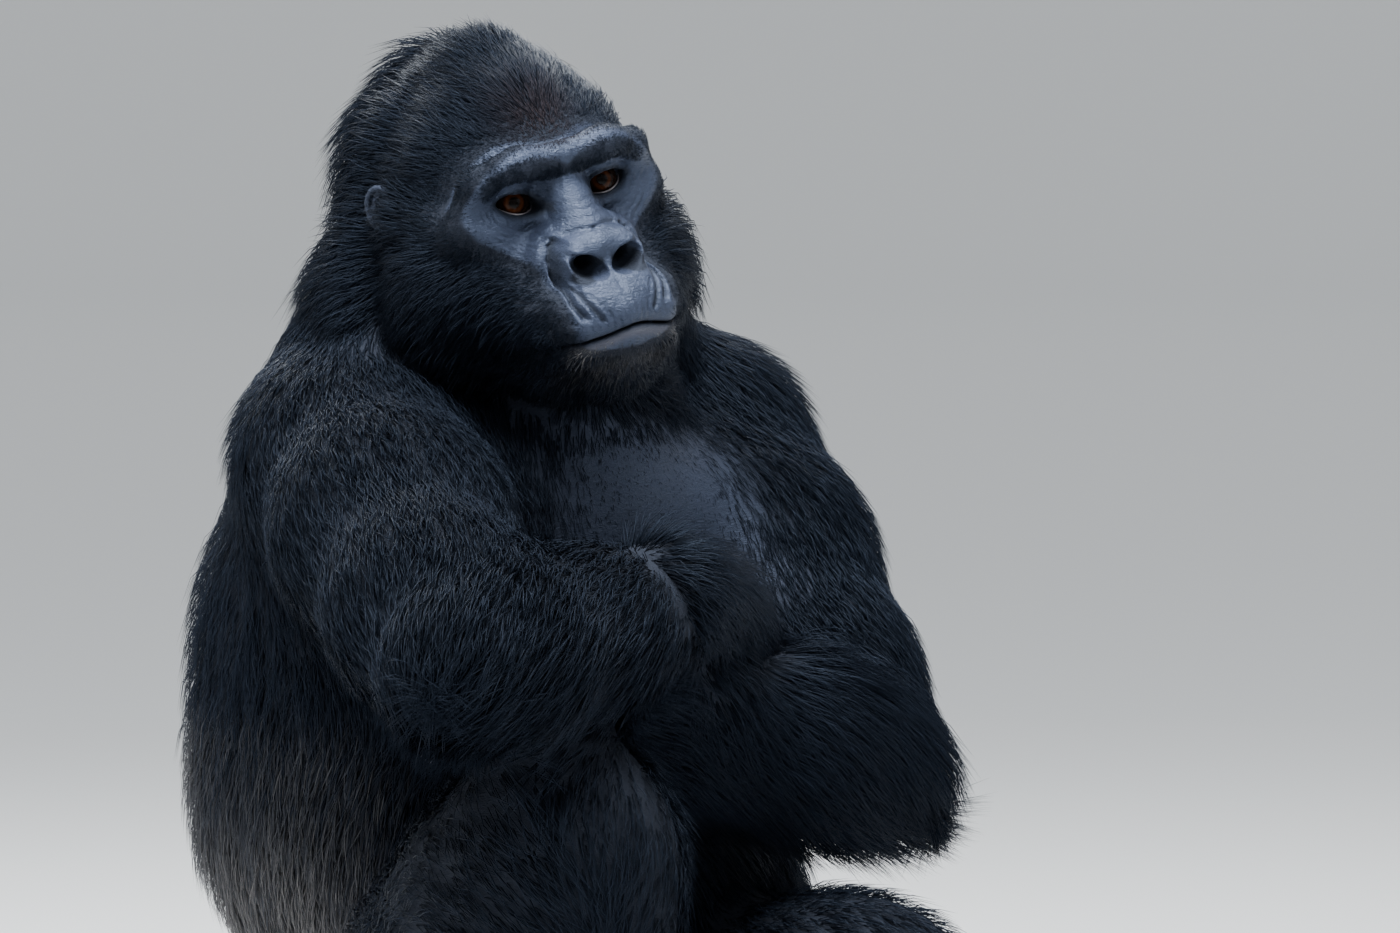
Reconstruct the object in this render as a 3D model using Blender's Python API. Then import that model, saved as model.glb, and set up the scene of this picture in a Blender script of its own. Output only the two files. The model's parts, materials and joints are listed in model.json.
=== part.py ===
"""A sitting silverback mountain gorilla, life size, as a still museum model.

Metres, +Z up. The animal faces -Y with its right side towards -X. The origin is the point of the
floor below its hips. Every form is given by the bare body plus the depth of its coat, so the solids
reach out to the tips of the hair.
"""

import math

import bmesh
import bpy
from mathutils import Matrix, Vector

# ---------------------------------------------------------------- driving dimensions
GAP = 0.0003
PRESS_GAP = 0.0005
BODY_VOXEL = 0.0095
LIMB_VOXEL = 0.0085
HAND_VOXEL = 0.0045
HEAD_VOXEL = 0.0055
SMOOTHING = 0.5
REACH = 2.0
HEAD_TRIANGLES = 1450
TRUNK_TRIANGLES = 850
ARM_TRIANGLES = 330
LEG_TRIANGLES = 340
HAND_TRIANGLES = 350

# Joints of the skeleton.
SHOULDER = {"r": Vector((-0.170, -0.015, 0.665)), "l": Vector((0.172, -0.008, 0.665))}
ELBOW = {"r": Vector((-0.340, -0.336, 0.530)), "l": Vector((0.120, -0.266, 0.430))}
WRIST = {"r": Vector((-0.066, -0.264, 0.556)), "l": Vector((-0.120, -0.206, 0.500))}
HIP = {"r": Vector((-0.105, -0.030, 0.150)), "l": Vector((0.105, -0.030, 0.140))}
KNEE = {"r": Vector((-0.202, -0.286, 0.384)), "l": Vector((0.040, -0.345, 0.254))}
ANKLE = {"r": Vector((-0.210, -0.330, 0.080)), "l": Vector((0.112, -0.578, 0.080))}
NECK_BASE = Vector((0.0, 0.010, 0.690))

# The head stands at the middle between the pupils, turned and tipped towards its right side.
EYE_MIDDLE = Vector((-0.094, -0.165, 0.854))
HEAD_TURN = math.radians(-16)
HEAD_NOD = math.radians(5)
HEAD_TILT = math.radians(13.4)
EYE_RADIUS = 0.0135
EYE_CENTRE = Vector((0.036, 0.0, -0.0105))

# Where the body is parted: level cuts through the trunk, a sloping collar under the neck, a plane
# under the skull, and the line of the mouth with the back of the jaw.
FLOOR = 0.0
BELLY_CUT = 0.430
HIP_CUT = 0.215
COLLAR_POINT = Vector((0.0, 0.0, 0.745))
COLLAR_NORMAL = Vector((-0.15, -0.45, 1.0))
NECK_POINT = (0, -60, -110)
NECK_NORMAL = Vector((0, 1.0, 0.55))
MOUTH_LINE = -0.0925
JAW_BACK = -0.050
ANKLE_CUT = 0.012

# Hands and fingers, feet and toes.
HAND_AIM = {"r": Vector((0.88, 0.40, -0.22)), "l": Vector((-0.93, 0.10, -0.10))}
HAND_BACK = {"r": Vector((0.35, -0.80, 0.42)), "l": Vector((-0.10, -0.85, 0.50))}
FINGER_CURL = {"r": (10, 16, 12), "l": (38, 60, 40)}
PHALANGES = (0.046, 0.036, 0.026)
FINGER_RADII = (0.0125, 0.0115, 0.0105)
FOOT_AIM = {"r": Vector((-0.22, -1.0, 0.0)), "l": Vector((0.20, -1.0, 0.0))}
BIG_TOE_SIDE = {"r": 1, "l": -1}
TOE_REACH = (0.050, 0.054, 0.050, 0.042)

# Ears: a thick rim of small beads round a thin cup.
EAR_PLACE = Vector((0.107, 0.002, -0.104))
EAR_TURN = math.radians(62)
EAR_RIM = Vector((0.0125, 0.0184, 0.0030))
EAR_BEAD = 0.0055


def head_matrix():
    """Head axes in the world: x to the animal's left, y up through the crown, z out of the face."""
    ahead = Vector((math.sin(HEAD_TURN), -math.cos(HEAD_TURN), 0.0))
    left = Vector((0, 0, 1)).cross(ahead)
    out = ahead * math.cos(HEAD_NOD) - Vector((0, 0, math.sin(HEAD_NOD)))
    up = Vector((0, 0, math.cos(HEAD_NOD))) + ahead * math.sin(HEAD_NOD)
    crown = up * math.cos(HEAD_TILT) - left * math.sin(HEAD_TILT)
    side = left * math.cos(HEAD_TILT) + up * math.sin(HEAD_TILT)
    axes = Matrix((side, crown, out)).transposed().to_4x4()
    return Matrix.Translation(EYE_MIDDLE) @ axes


HEAD = head_matrix()


def on_head(x, y, z):
    """A point given in millimetres from the middle between the pupils."""
    return HEAD @ Vector((x / 1000, y / 1000, z / 1000))


# ---------------------------------------------------------------- making forms
def ball(mesh, centre, radii, coat=0.0, axes=None):
    """An ellipsoid, grown by the coat."""
    sizes = [radius + coat for radius in radii]
    turn = axes.to_4x4() if axes else Matrix.Identity(4)
    place = Matrix.Translation(centre) @ turn @ Matrix.Diagonal((*sizes, 1.0))
    bmesh.ops.create_icosphere(mesh, subdivisions=3, radius=1.0, matrix=place)


def head_ball(mesh, centre, radii, coat=0.0):
    """An ellipsoid in head axes, all in millimetres."""
    ball(mesh, on_head(*centre), [radius / 1000 for radius in radii], coat / 1000, HEAD.to_3x3())


def bar(mesh, start, end, radius_start, radius_end, coat=0.0):
    """A round bar with ball ends that tapers from one radius to the other."""
    first, last = radius_start + coat, radius_end + coat
    run = end - start
    for centre, radius in ((start, first), (end, last)):
        place = Matrix.Translation(centre)
        bmesh.ops.create_icosphere(mesh, subdivisions=3, radius=radius, matrix=place)
    turn = run.to_track_quat("Z", "Y").to_matrix().to_4x4()
    place = Matrix.Translation((start + end) / 2) @ turn
    bmesh.ops.create_cone(
        mesh, cap_ends=True, segments=20, radius1=first, radius2=last, depth=run.length, matrix=place
    )


def head_bar(mesh, start, end, radius_start, radius_end, coat=0.0):
    """A tapered bar in head axes, all in millimetres."""
    ends = on_head(*start), on_head(*end)
    bar(mesh, *ends, radius_start / 1000, radius_end / 1000, coat / 1000)


def limb(mesh, start, end, stations):
    """Tapered bars from start to end through stations of (share of the length, radius, coat)."""
    for (share, radius, coat), (next_share, next_radius, next_coat) in zip(stations, stations[1:]):
        near, far = start.lerp(end, share), start.lerp(end, next_share)
        bar(mesh, near, far, radius + coat, next_radius + next_coat)


def mirrored(mesh, form, centre, *sizes):
    """The same head form on both sides of the face."""
    for side in (-1, 1):
        form(mesh, (side * centre[0], *centre[1:]), *sizes)


# ---------------------------------------------------------------- the forms of the animal
def trunk_forms(mesh):
    ball(mesh, Vector((0, 0.025, 0.155)), (0.200, 0.155, 0.150), 0.022)
    for side in (-1, 1):
        ball(mesh, Vector((side * 0.100, 0.035, 0.090)), (0.095, 0.110, 0.092), 0.018)
        ball(mesh, Vector((side * 0.082, -0.085, 0.592)), (0.092, 0.075, 0.085), 0.012)
        ball(mesh, Vector((side * 0.145, 0.020, 0.500)), (0.090, 0.125, 0.160), 0.024)
    ball(mesh, Vector((0, -0.040, 0.305)), (0.200, 0.170, 0.185), 0.018)
    ball(mesh, Vector((0, 0.048, 0.410)), (0.220, 0.165, 0.215), 0.026)
    ball(mesh, Vector((0, 0.018, 0.550)), (0.222, 0.172, 0.175), 0.026)
    ball(mesh, Vector((0, 0.050, 0.645)), (0.172, 0.135, 0.115), 0.030)
    for joint in SHOULDER.values():
        ball(mesh, joint, (0.086, 0.086, 0.080), 0.014)
    neck_forms(mesh)


def neck_forms(mesh):
    """The thick neck, shared by trunk and head so that one runs on into the other."""
    bar(mesh, NECK_BASE, on_head(0, -12, -135), 0.120, 0.088, 0.022)
    bar(mesh, Vector((0.0, -0.050, 0.660)), on_head(0, -85, -45), 0.085, 0.058, 0.022)
    for side in (-1, 1):
        bar(mesh, Vector((side * 0.120, 0.025, 0.680)), on_head(side * 38, -12, -145), 0.080, 0.056, 0.022)


def arm_forms(mesh, side):
    shoulder, elbow, wrist = SHOULDER[side], ELBOW[side], WRIST[side]
    upper = [(0.14, 0.074, 0.016), (0.38, 0.078, 0.024), (0.72, 0.064, 0.028), (1.0, 0.050, 0.020)]
    fore = [(0.0, 0.048, 0.020), (0.25, 0.055, 0.024), (0.62, 0.049, 0.028), (1.0, 0.038, 0.018)]
    limb(mesh, shoulder, elbow, upper)
    limb(mesh, elbow, wrist, fore)


def hand_axes(side):
    """(aim, across, back): towards the knuckles, across the palm towards the thumb, out of its back."""
    aim = HAND_AIM[side].normalized()
    across = aim.cross(HAND_BACK[side]).normalized()
    back = across.cross(aim).normalized()
    return aim, across, back


def hand_forms(mesh, side):
    aim, across, back = hand_axes(side)
    wrist = WRIST[side]
    axes = Matrix((aim, across, back)).transposed()
    bar(mesh, wrist, wrist + aim * 0.030, 0.036, 0.036, 0.008)
    ball(mesh, wrist + aim * 0.058, (0.056, 0.047, 0.024), 0.006, axes)
    for finger in range(4):
        spread = 0.033 - 0.022 * finger
        reach = 1.0 - 0.10 * abs(finger - 1.2)
        tip = wrist + aim * 0.098 + across * spread
        angle = 0.0
        for bend, length, radius in zip(FINGER_CURL[side], PHALANGES, FINGER_RADII):
            angle += math.radians(bend)
            step = (aim * math.cos(angle) - back * math.sin(angle)) * length * reach
            bar(mesh, tip, tip + step, radius, radius - 0.001, 0.001)
            tip = tip + step
    root = wrist + aim * 0.026 + across * 0.034 - back * 0.006
    knuckle = root + aim * 0.038 + across * 0.018 - back * 0.012
    bar(mesh, root, knuckle, 0.0150, 0.0125, 0.001)
    bar(mesh, knuckle, knuckle + aim * 0.032 - back * 0.006, 0.0125, 0.0105, 0.001)


def leg_forms(mesh, side):
    hip, knee, ankle = HIP[side], KNEE[side], ANKLE[side]
    thigh = [(0.0, 0.102, 0.018), (0.45, 0.112, 0.024), (0.80, 0.098, 0.026), (1.0, 0.084, 0.026)]
    shank = [(0.0, 0.078, 0.024), (0.32, 0.068, 0.026), (0.70, 0.049, 0.022), (1.0, 0.040, 0.014)]
    limb(mesh, hip, knee, thigh)
    limb(mesh, knee, ankle, shank)


def foot_forms(mesh, side):
    aim = FOOT_AIM[side].normalized()
    inward = aim.cross(Vector((0, 0, 1))) * -BIG_TOE_SIDE[side]
    ankle = ANKLE[side]
    root = Vector((ankle.x, ankle.y, 0.0))
    axes = Matrix((aim, inward, Vector((0, 0, 1)))).transposed()
    bar(mesh, ankle, root - aim * 0.030 + Vector((0, 0, 0.034)), 0.038, 0.035, 0.006)
    bar(mesh, ankle, root + aim * 0.070 + Vector((0, 0, 0.040)), 0.036, 0.032, 0.006)
    ball(mesh, root + aim * 0.080 + Vector((0, 0, 0.034)), (0.090, 0.046, 0.034), 0.003, axes)
    ball(mesh, root + aim * 0.140 + Vector((0, 0, 0.028)), (0.046, 0.053, 0.028), 0.002, axes)
    for toe, reach in enumerate(TOE_REACH):
        base = root + aim * (0.166 - 0.008 * toe) + inward * (0.030 - 0.025 * toe)
        middle = base + aim * reach * 0.55 + Vector((0, 0, 0.026))
        tip = base + aim * reach + Vector((0, 0, 0.012))
        bar(mesh, base + Vector((0, 0, 0.022)), middle, 0.0155, 0.0145, 0.001)
        bar(mesh, middle, tip, 0.0145, 0.0130, 0.001)
    heel_of_toe = root + aim * 0.085 + inward * 0.034 + Vector((0, 0, 0.024))
    joint = heel_of_toe + aim * 0.052 + inward * 0.030
    bar(mesh, heel_of_toe, joint, 0.024, 0.020, 0.001)
    bar(mesh, joint, joint + aim * 0.036 + inward * 0.004 - Vector((0, 0, 0.006)), 0.020, 0.016, 0.001)


def head_forms(mesh):
    # Skull, chewing muscles and the crest of a grown male.
    neck_forms(mesh)
    head_ball(mesh, (0, 18, -95), (73, 68, 98), 13)
    head_ball(mesh, (0, 42, -100), (58, 54, 72), 12)
    head_ball(mesh, (0, 28, -132), (78, 66, 60), 18)
    mirrored(mesh, head_ball, (42, 4, -72), (40, 50, 60), 12)
    head_bar(mesh, (0, 52, -45), (0, 70, -105), 28, 34, 10)
    head_bar(mesh, (0, 70, -105), (0, 58, -170), 34, 42, 12)
    head_ball(mesh, (0, 15, -165), (90, 72, 64), 22)
    mirrored(mesh, head_ball, (70, -58, -62), (34, 58, 48), 31)
    # Brow, sockets and cheekbones.
    head_bar(mesh, (-34, 28, 13), (34, 28, 13), 12, 12)
    mirrored(mesh, head_ball, (34, 26, 12), (22, 14, 14), 0)
    for side in (-1, 1):
        head_bar(mesh, (side * 34, 28, 14), (side * 62, 18, -4), 12.5, 12, 1)
        head_bar(mesh, (side * 62, 18, -4), (side * 73, -4, -14), 12, 11, 1)
        head_bar(mesh, (side * 69, -14, -15), (side * 38, -31, 1), 17, 18, 1)
        head_bar(mesh, (side * 70, -16, -30), (side * 84, -8, -80), 16, 16, 10)
    head_ball(mesh, (0, -4, -24), (60, 34, 24), 0)
    # Bridge, nose and muzzle.
    head_bar(mesh, (0, 8, 10), (0, -26, 36), 13, 16)
    head_ball(mesh, (0, -44, 18), (46, 34, 34), 0)
    mirrored(mesh, head_ball, (21, -44, 44), (19, 17, 19), 0)
    head_ball(mesh, (0, -36, 50), (13, 13, 15), 0)
    head_ball(mesh, (0, -78, 41), (56, 31, 45), 1)
    head_ball(mesh, (0, -104, 41), (50, 22, 42), 2)
    head_ball(mesh, (0, -124, 36), (37, 22, 36), 10)
    for side in (-1, 1):
        head_bar(mesh, (side * 34, -120, 12), (side * 70, -76, -66), 26, 34, 14)
        head_bar(mesh, (side * 40, -84, 22), (side * 58, -52, -22), 26, 28, 6)
    head_ball(mesh, (0, -100, -30), (58, 48, 60), 16)


def ear_forms(mesh, side):
    """A small round ear, cupped forwards, lying close to the head."""
    axes = HEAD.to_3x3() @ Matrix.Rotation(side * EAR_TURN, 3, "Y")
    middle = HEAD @ Vector((side * EAR_PLACE.x, EAR_PLACE.y, EAR_PLACE.z))
    for degrees in range(-110, 181, 22):
        angle = math.radians(degrees)
        spot = Vector((side * EAR_RIM.x * math.cos(angle), EAR_RIM.y * math.sin(angle), EAR_RIM.z))
        ball(mesh, middle + axes @ spot, (EAR_BEAD,) * 3)
    ball(mesh, middle, (0.0135, 0.0185, 0.0042), 0.0, axes)
    ball(mesh, middle + axes @ Vector((0, -0.016, 0.001)), (0.007, 0.007, 0.006), 0.0, axes)


# ---------------------------------------------------------------- turning forms into solids
def new_object(name, mesh_data):
    thing = bpy.data.objects.new(name, mesh_data)
    bpy.context.scene.collection.objects.link(thing)
    return thing


def baked(thing):
    """The object's mesh with its modifiers in it; the object itself goes."""
    graph = bpy.context.evaluated_depsgraph_get()
    result = bpy.data.meshes.new_from_object(thing.evaluated_get(graph))
    bpy.data.objects.remove(thing)
    return result


def solid(forms, *arguments, voxel, rounds, triangles):
    """One smooth closed mesh round all that forms() adds, thinned to about so many triangles.

    It is left in triangles: a four-sided face that isn't flat could be halved one way in a cutter
    and the other way in the solid it stands for, and the two would then overlap.
    """
    sketch = bmesh.new()
    forms(sketch, *arguments)
    raw = bpy.data.meshes.new("sketch")
    sketch.to_mesh(raw)
    sketch.free()
    thing = new_object("sketch", raw)
    remesh = thing.modifiers.new("skin", "REMESH")
    remesh.mode = "VOXEL"
    remesh.voxel_size = voxel
    smooth = thing.modifiers.new("soften", "SMOOTH")
    smooth.factor = SMOOTHING
    smooth.iterations = rounds
    dense = baked(thing)
    dense.calc_loop_triangles()
    share = min(1.0, triangles / len(dense.loop_triangles))
    thing = new_object("dense", dense)
    thin = thing.modifiers.new("thin", "DECIMATE")
    thin.ratio = share
    thin.use_collapse_triangulate = True
    return baked(thing)


def main_body(mesh_data):
    """Keeps the largest of the mesh's separate bodies."""
    work = bmesh.new()
    work.from_mesh(mesh_data)
    unseen = set(work.faces)
    bodies = []
    while unseen:
        edge = [unseen.pop()]
        body = set(edge)
        while edge:
            face = edge.pop()
            for side in face.edges:
                for near in side.link_faces:
                    if near in unseen:
                        unseen.discard(near)
                        body.add(near)
                        edge.append(near)
        bodies.append(body)
    bodies.sort(key=len)
    extra = [face for body in bodies[:-1] for face in body]
    bmesh.ops.delete(work, geom=extra, context="FACES")
    work.to_mesh(mesh_data)
    work.free()
    return mesh_data


def combined(mesh_data, cutter_data, operation="DIFFERENCE", grown=0.0):
    """The mesh cut by another one, which is grown outwards first to leave a gap.

    The EXACT solver left a sliver of one solid inside another where two limbs cross, so every cut
    here uses MANIFOLD; all the meshes are closed.
    """
    cutter = new_object("cutter", cutter_data.copy())
    cutter.hide_render = True
    if grown:
        grow = cutter.modifiers.new("grow", "DISPLACE")
        grow.mid_level = 0.0
        grow.strength = grown
    thing = new_object("cut", mesh_data.copy())
    cut = thing.modifiers.new("cut", "BOOLEAN")
    cut.operation = operation
    cut.solver = "MANIFOLD"
    cut.object = cutter
    result = baked(thing)
    bpy.data.objects.remove(cutter)
    return main_body(result)


def without(mesh_data, cutters):
    """The mesh less its neighbours, which leaves a thin gap where they press together."""
    for cutter in cutters:
        mesh_data = combined(mesh_data, cutter, grown=PRESS_GAP)
    return mesh_data


def half(mesh_data, point, normal, gap=GAP / 2):
    """The part of a closed mesh on the far side of a plane, cut flat half a gap beyond it."""
    turn = normal.to_track_quat("Z", "Y").to_matrix().to_4x4()
    plane = Matrix.Translation(point) @ turn
    kept_side = box((-REACH, REACH), (-REACH, REACH), (gap, REACH), plane)
    return combined(mesh_data, kept_side, "INTERSECT")


def box(x_range, y_range, z_range, axes):
    """A box mesh given by its ranges along three axes."""
    work = bmesh.new()
    ranges = (x_range, y_range, z_range)
    middle = Vector([(low + high) / 2 for low, high in ranges])
    size = [high - low for low, high in ranges]
    place = axes @ Matrix.Translation(middle) @ Matrix.Diagonal((*size, 1.0))
    bmesh.ops.create_cube(work, size=1.0, matrix=place)
    result = bpy.data.meshes.new("box")
    work.to_mesh(result)
    work.free()
    return result


# ---------------------------------------------------------------- materials
def finish(name, colour, roughness):
    material = bpy.data.materials.new(name)
    material.use_nodes = True
    shader = material.node_tree.nodes["Principled BSDF"]
    shader.inputs["Base Color"].default_value = (*colour, 1.0)
    shader.inputs["Roughness"].default_value = roughness
    material.diffuse_color = (*colour, 1.0)
    return material


COLOURS = {
    "coat": ((0.012, 0.013, 0.018), 0.65),
    "silver_coat": ((0.110, 0.105, 0.110), 0.70),
    "skin": ((0.035, 0.038, 0.048), 0.38),
    "eye": ((0.075, 0.028, 0.010), 0.08),
}


def node(name, mesh_data, colour):
    """A named sub-part with a material of its own."""
    mesh_data.materials.clear()
    mesh_data.materials.append(finish(name + "_" + colour, *COLOURS[colour]))
    mesh_data.shade_smooth()
    mesh_data.set_sharp_from_angle(angle=math.radians(50))
    mesh_data.name = name
    return new_object(name, mesh_data)


# ---------------------------------------------------------------- building the animal
def bend_plane(before, joint, after):
    """The plane through a joint that halves its bend, as (point, normal towards the far part)."""
    return joint, (joint - before).normalized() + (after - joint).normalized()


def socket_form(mesh, side):
    """The hollow under the brow that the eye looks out of."""
    head_ball(mesh, (side * 38, -1, 7), (19, 12, 15))


def build_head(neck_plane, rest_of_body):
    point, normal = neck_plane
    whole = solid(head_forms, voxel=HEAD_VOXEL, rounds=5, triangles=HEAD_TRIANGLES)
    head = half(whole, point, normal)
    for side in (-1, 1):
        socket = solid(socket_form, side, voxel=0.003, rounds=1, triangles=200)
        head = combined(head, socket)
        centre = HEAD @ Vector((side * EYE_CENTRE.x, EYE_CENTRE.y, EYE_CENTRE.z))
        eye = bmesh.new()
        place = Matrix.Translation(centre) @ HEAD.to_3x3().to_4x4()
        bmesh.ops.create_uvsphere(eye, u_segments=14, v_segments=9, radius=EYE_RADIUS, matrix=place)
        eye_data = bpy.data.meshes.new("eye")
        eye.to_mesh(eye_data)
        eye.free()
        head = combined(head, eye_data, grown=PRESS_GAP)
        node("eye_" + ("r" if side < 0 else "l"), eye_data, "eye")
    head = without(head, rest_of_body)
    across = (-REACH, REACH)
    jaw_room = box(across, (-REACH, MOUTH_LINE), (JAW_BACK, REACH), HEAD)
    jaw = combined(head, jaw_room, "INTERSECT")
    jaw_clear = box(across, (-REACH, MOUTH_LINE + GAP), (JAW_BACK - GAP, REACH), HEAD)
    skull = combined(head, jaw_clear)
    node("head", skull, "coat")
    node("lower_jaw", jaw, "skin")
    for side in (-1, 1):
        ear = solid(ear_forms, side, voxel=0.0022, rounds=2, triangles=170)
        node("ear_" + ("r" if side < 0 else "l"), combined(ear, skull, grown=PRESS_GAP), "skin")


def build_trunk(cutters, neck_plane):
    trunk = solid(trunk_forms, voxel=BODY_VOXEL, rounds=8, triangles=TRUNK_TRIANGLES)
    trunk = without(on_floor(trunk), cutters)
    point, normal = neck_plane
    up = Vector((0, 0, 1))
    body = half(trunk, point, -normal)
    node("neck", half(body, COLLAR_POINT, COLLAR_NORMAL), "coat")
    lower = half(body, COLLAR_POINT, -COLLAR_NORMAL)
    node("chest", half(lower, up * BELLY_CUT, up), "coat")
    waist = half(lower, up * BELLY_CUT, -up)
    node("belly", half(waist, up * HIP_CUT, up), "silver_coat")
    node("hips", half(waist, up * HIP_CUT, -up), "silver_coat")


def on_floor(mesh_data):
    """The mesh cut flat where it meets the floor."""
    return half(mesh_data, Vector((0, 0, FLOOR)), Vector((0, 0, 1)), gap=0.0)


def whole_arm(side):
    """(arm, hand), parted at the wrist."""
    knuckles = WRIST[side] + hand_axes(side)[0]
    point, normal = bend_plane(ELBOW[side], WRIST[side], knuckles)
    arm = solid(arm_forms, side, voxel=LIMB_VOXEL, rounds=5, triangles=ARM_TRIANGLES)
    hand = solid(hand_forms, side, voxel=HAND_VOXEL, rounds=3, triangles=HAND_TRIANGLES)
    return half(arm, point, -normal), half(hand, point, normal)


def whole_leg(side):
    """(leg, foot), parted above the ankle."""
    shin = (ANKLE[side] - KNEE[side]).normalized()
    point = ANKLE[side] - shin * ANKLE_CUT
    leg = solid(leg_forms, side, voxel=LIMB_VOXEL, rounds=5, triangles=LEG_TRIANGLES)
    foot = solid(foot_forms, side, voxel=HAND_VOXEL, rounds=3, triangles=HAND_TRIANGLES)
    return half(leg, point, -shin), on_floor(half(foot, point, shin))


def split_arm(arm, hand, side):
    elbow = bend_plane(SHOULDER[side], ELBOW[side], WRIST[side])
    node("upper_arm_" + side, half(arm, elbow[0], -elbow[1]), "coat")
    node("forearm_" + side, half(arm, *elbow), "coat")
    node("hand_" + side, hand, "skin")


def split_leg(leg, foot, side):
    knee = bend_plane(HIP[side], KNEE[side], ANKLE[side])
    node("thigh_" + side, half(leg, knee[0], -knee[1]), "coat")
    node("shank_" + side, half(leg, *knee), "coat")
    node("foot_" + side, foot, "skin")


def build():
    for thing in list(bpy.data.objects):
        bpy.data.objects.remove(thing)
    neck_plane = on_head(*NECK_POINT), HEAD.to_3x3() @ NECK_NORMAL
    arm_r, hand_r = whole_arm("r")
    arm_l, hand_l = whole_arm("l")
    leg_r, foot_r = whole_leg("r")
    leg_l, foot_l = whole_leg("l")
    arms = [arm_r, hand_r, arm_l, hand_l]
    build_trunk([*arms, leg_r, leg_l], neck_plane)
    build_head(neck_plane, [arm_r, arm_l])
    split_arm(arm_r, without(hand_r, [arm_l]), "r")
    split_arm(without(arm_l, [arm_r, hand_r]), without(hand_l, [arm_r]), "l")
    split_leg(without(leg_r, arms), foot_r, "r")
    split_leg(without(leg_l, [arm_l, leg_r]), foot_l, "l")


build()
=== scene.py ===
# %% [markdown]
# # A sitting silverback mountain gorilla
#
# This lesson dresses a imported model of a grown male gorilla. The solids of the frame already have its
# size and pose and reach about as far as its hair. What they lack is made here: one continuous skin
# with a modelled face, wet eyes, nails, and a coat of solid tufts that lie the way real hair lies.
# Everything is worked out in the frame's own metres, so nothing has to be fitted afterwards.

# %% Load the frame
import json
import math

import bpy
import numpy as np
from mathutils import Matrix, Vector

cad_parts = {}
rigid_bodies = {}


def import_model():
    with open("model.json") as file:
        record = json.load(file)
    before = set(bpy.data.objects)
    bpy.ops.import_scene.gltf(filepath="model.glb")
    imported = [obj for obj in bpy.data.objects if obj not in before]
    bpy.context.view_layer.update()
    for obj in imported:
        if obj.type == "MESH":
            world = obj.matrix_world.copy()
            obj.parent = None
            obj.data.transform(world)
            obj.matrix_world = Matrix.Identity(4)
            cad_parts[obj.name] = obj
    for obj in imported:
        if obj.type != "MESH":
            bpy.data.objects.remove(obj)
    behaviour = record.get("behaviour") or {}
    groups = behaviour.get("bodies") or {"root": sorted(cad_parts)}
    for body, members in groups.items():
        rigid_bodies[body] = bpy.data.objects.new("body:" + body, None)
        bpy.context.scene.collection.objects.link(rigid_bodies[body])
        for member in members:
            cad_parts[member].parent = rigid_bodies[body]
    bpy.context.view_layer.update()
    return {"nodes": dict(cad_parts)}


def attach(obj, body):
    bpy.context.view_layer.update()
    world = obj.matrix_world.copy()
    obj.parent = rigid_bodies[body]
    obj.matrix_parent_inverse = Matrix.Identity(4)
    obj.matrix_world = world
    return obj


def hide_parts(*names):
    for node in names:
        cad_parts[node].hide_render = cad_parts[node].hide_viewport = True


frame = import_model()
MM = 1000.0

# %% [markdown]
# ## The skeleton that everything hangs on
#
# A sculptor starts with an armature. Ours is the list of joints that the solids were built round, in
# metres, with +Z up and the animal facing -Y. The head has axes of its own: x to the animal's left, y
# up through the crown and z out of the face, in millimetres from the middle between the pupils. A face
# is easier to model in those than in the tilted axes of the world.

# %% Joints and head axes
SHOULDER = {"r": (-0.170, -0.015, 0.665), "l": (0.172, -0.008, 0.665)}
ELBOW = {"r": (-0.340, -0.336, 0.530), "l": (0.120, -0.266, 0.430)}
WRIST = {"r": (-0.066, -0.264, 0.556), "l": (-0.120, -0.206, 0.500)}
HIP = {"r": (-0.105, -0.030, 0.150), "l": (0.105, -0.030, 0.140)}
KNEE = {"r": (-0.202, -0.286, 0.384), "l": (0.040, -0.345, 0.254)}
ANKLE = {"r": (-0.210, -0.330, 0.080), "l": (0.112, -0.578, 0.080)}
NECK_BASE = (0.0, 0.010, 0.690)
EYE_MIDDLE = Vector((-0.094, -0.165, 0.854))
HEAD_TURN, HEAD_NOD, HEAD_TILT = (math.radians(a) for a in (-16, 5, 13.4))


def head_axes():
    """The head's x, y and z axes as the columns of a matrix."""
    ahead = Vector((math.sin(HEAD_TURN), -math.cos(HEAD_TURN), 0.0))
    left = Vector((0, 0, 1)).cross(ahead)
    out = ahead * math.cos(HEAD_NOD) - Vector((0, 0, math.sin(HEAD_NOD)))
    up = Vector((0, 0, math.cos(HEAD_NOD))) + ahead * math.sin(HEAD_NOD)
    crown = up * math.cos(HEAD_TILT) - left * math.sin(HEAD_TILT)
    side = left * math.cos(HEAD_TILT) + up * math.sin(HEAD_TILT)
    return Matrix((side, crown, out)).transposed()


HEAD_AXES = np.array(head_axes(), np.float32)
HEAD_ORIGIN = np.array(EYE_MIDDLE, np.float32)


def head_to_world(points):
    """Points in head millimetres, as world metres."""
    return np.asarray(points, np.float32) / MM @ HEAD_AXES.T + HEAD_ORIGIN


def world_to_head(points):
    return (np.asarray(points, np.float32) - HEAD_ORIGIN) @ HEAD_AXES * MM


def smoothstep(value, start, end):
    share = np.clip((value - start) / (end - start), 0, 1)
    return share * share * (3 - 2 * share)


print("crown of the head at", head_to_world((0, 100, -100)).round(3))

# %% [markdown]
# ## Clay
#
# Flesh has no edges: a cheek swells into a muzzle and a finger into a palm. Spheres joined with a
# Boolean would show every seam, so the body is modelled in a block of space that knows, at each point
# of a grid, how far away the surface is. Adding a form takes the smaller of two distances, blended so
# that the join is rounded, and carving takes clay away in the same manner. The surface is where the
# distance is nought. The grid can be fine where the face is and coarse under the fur.

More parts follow.
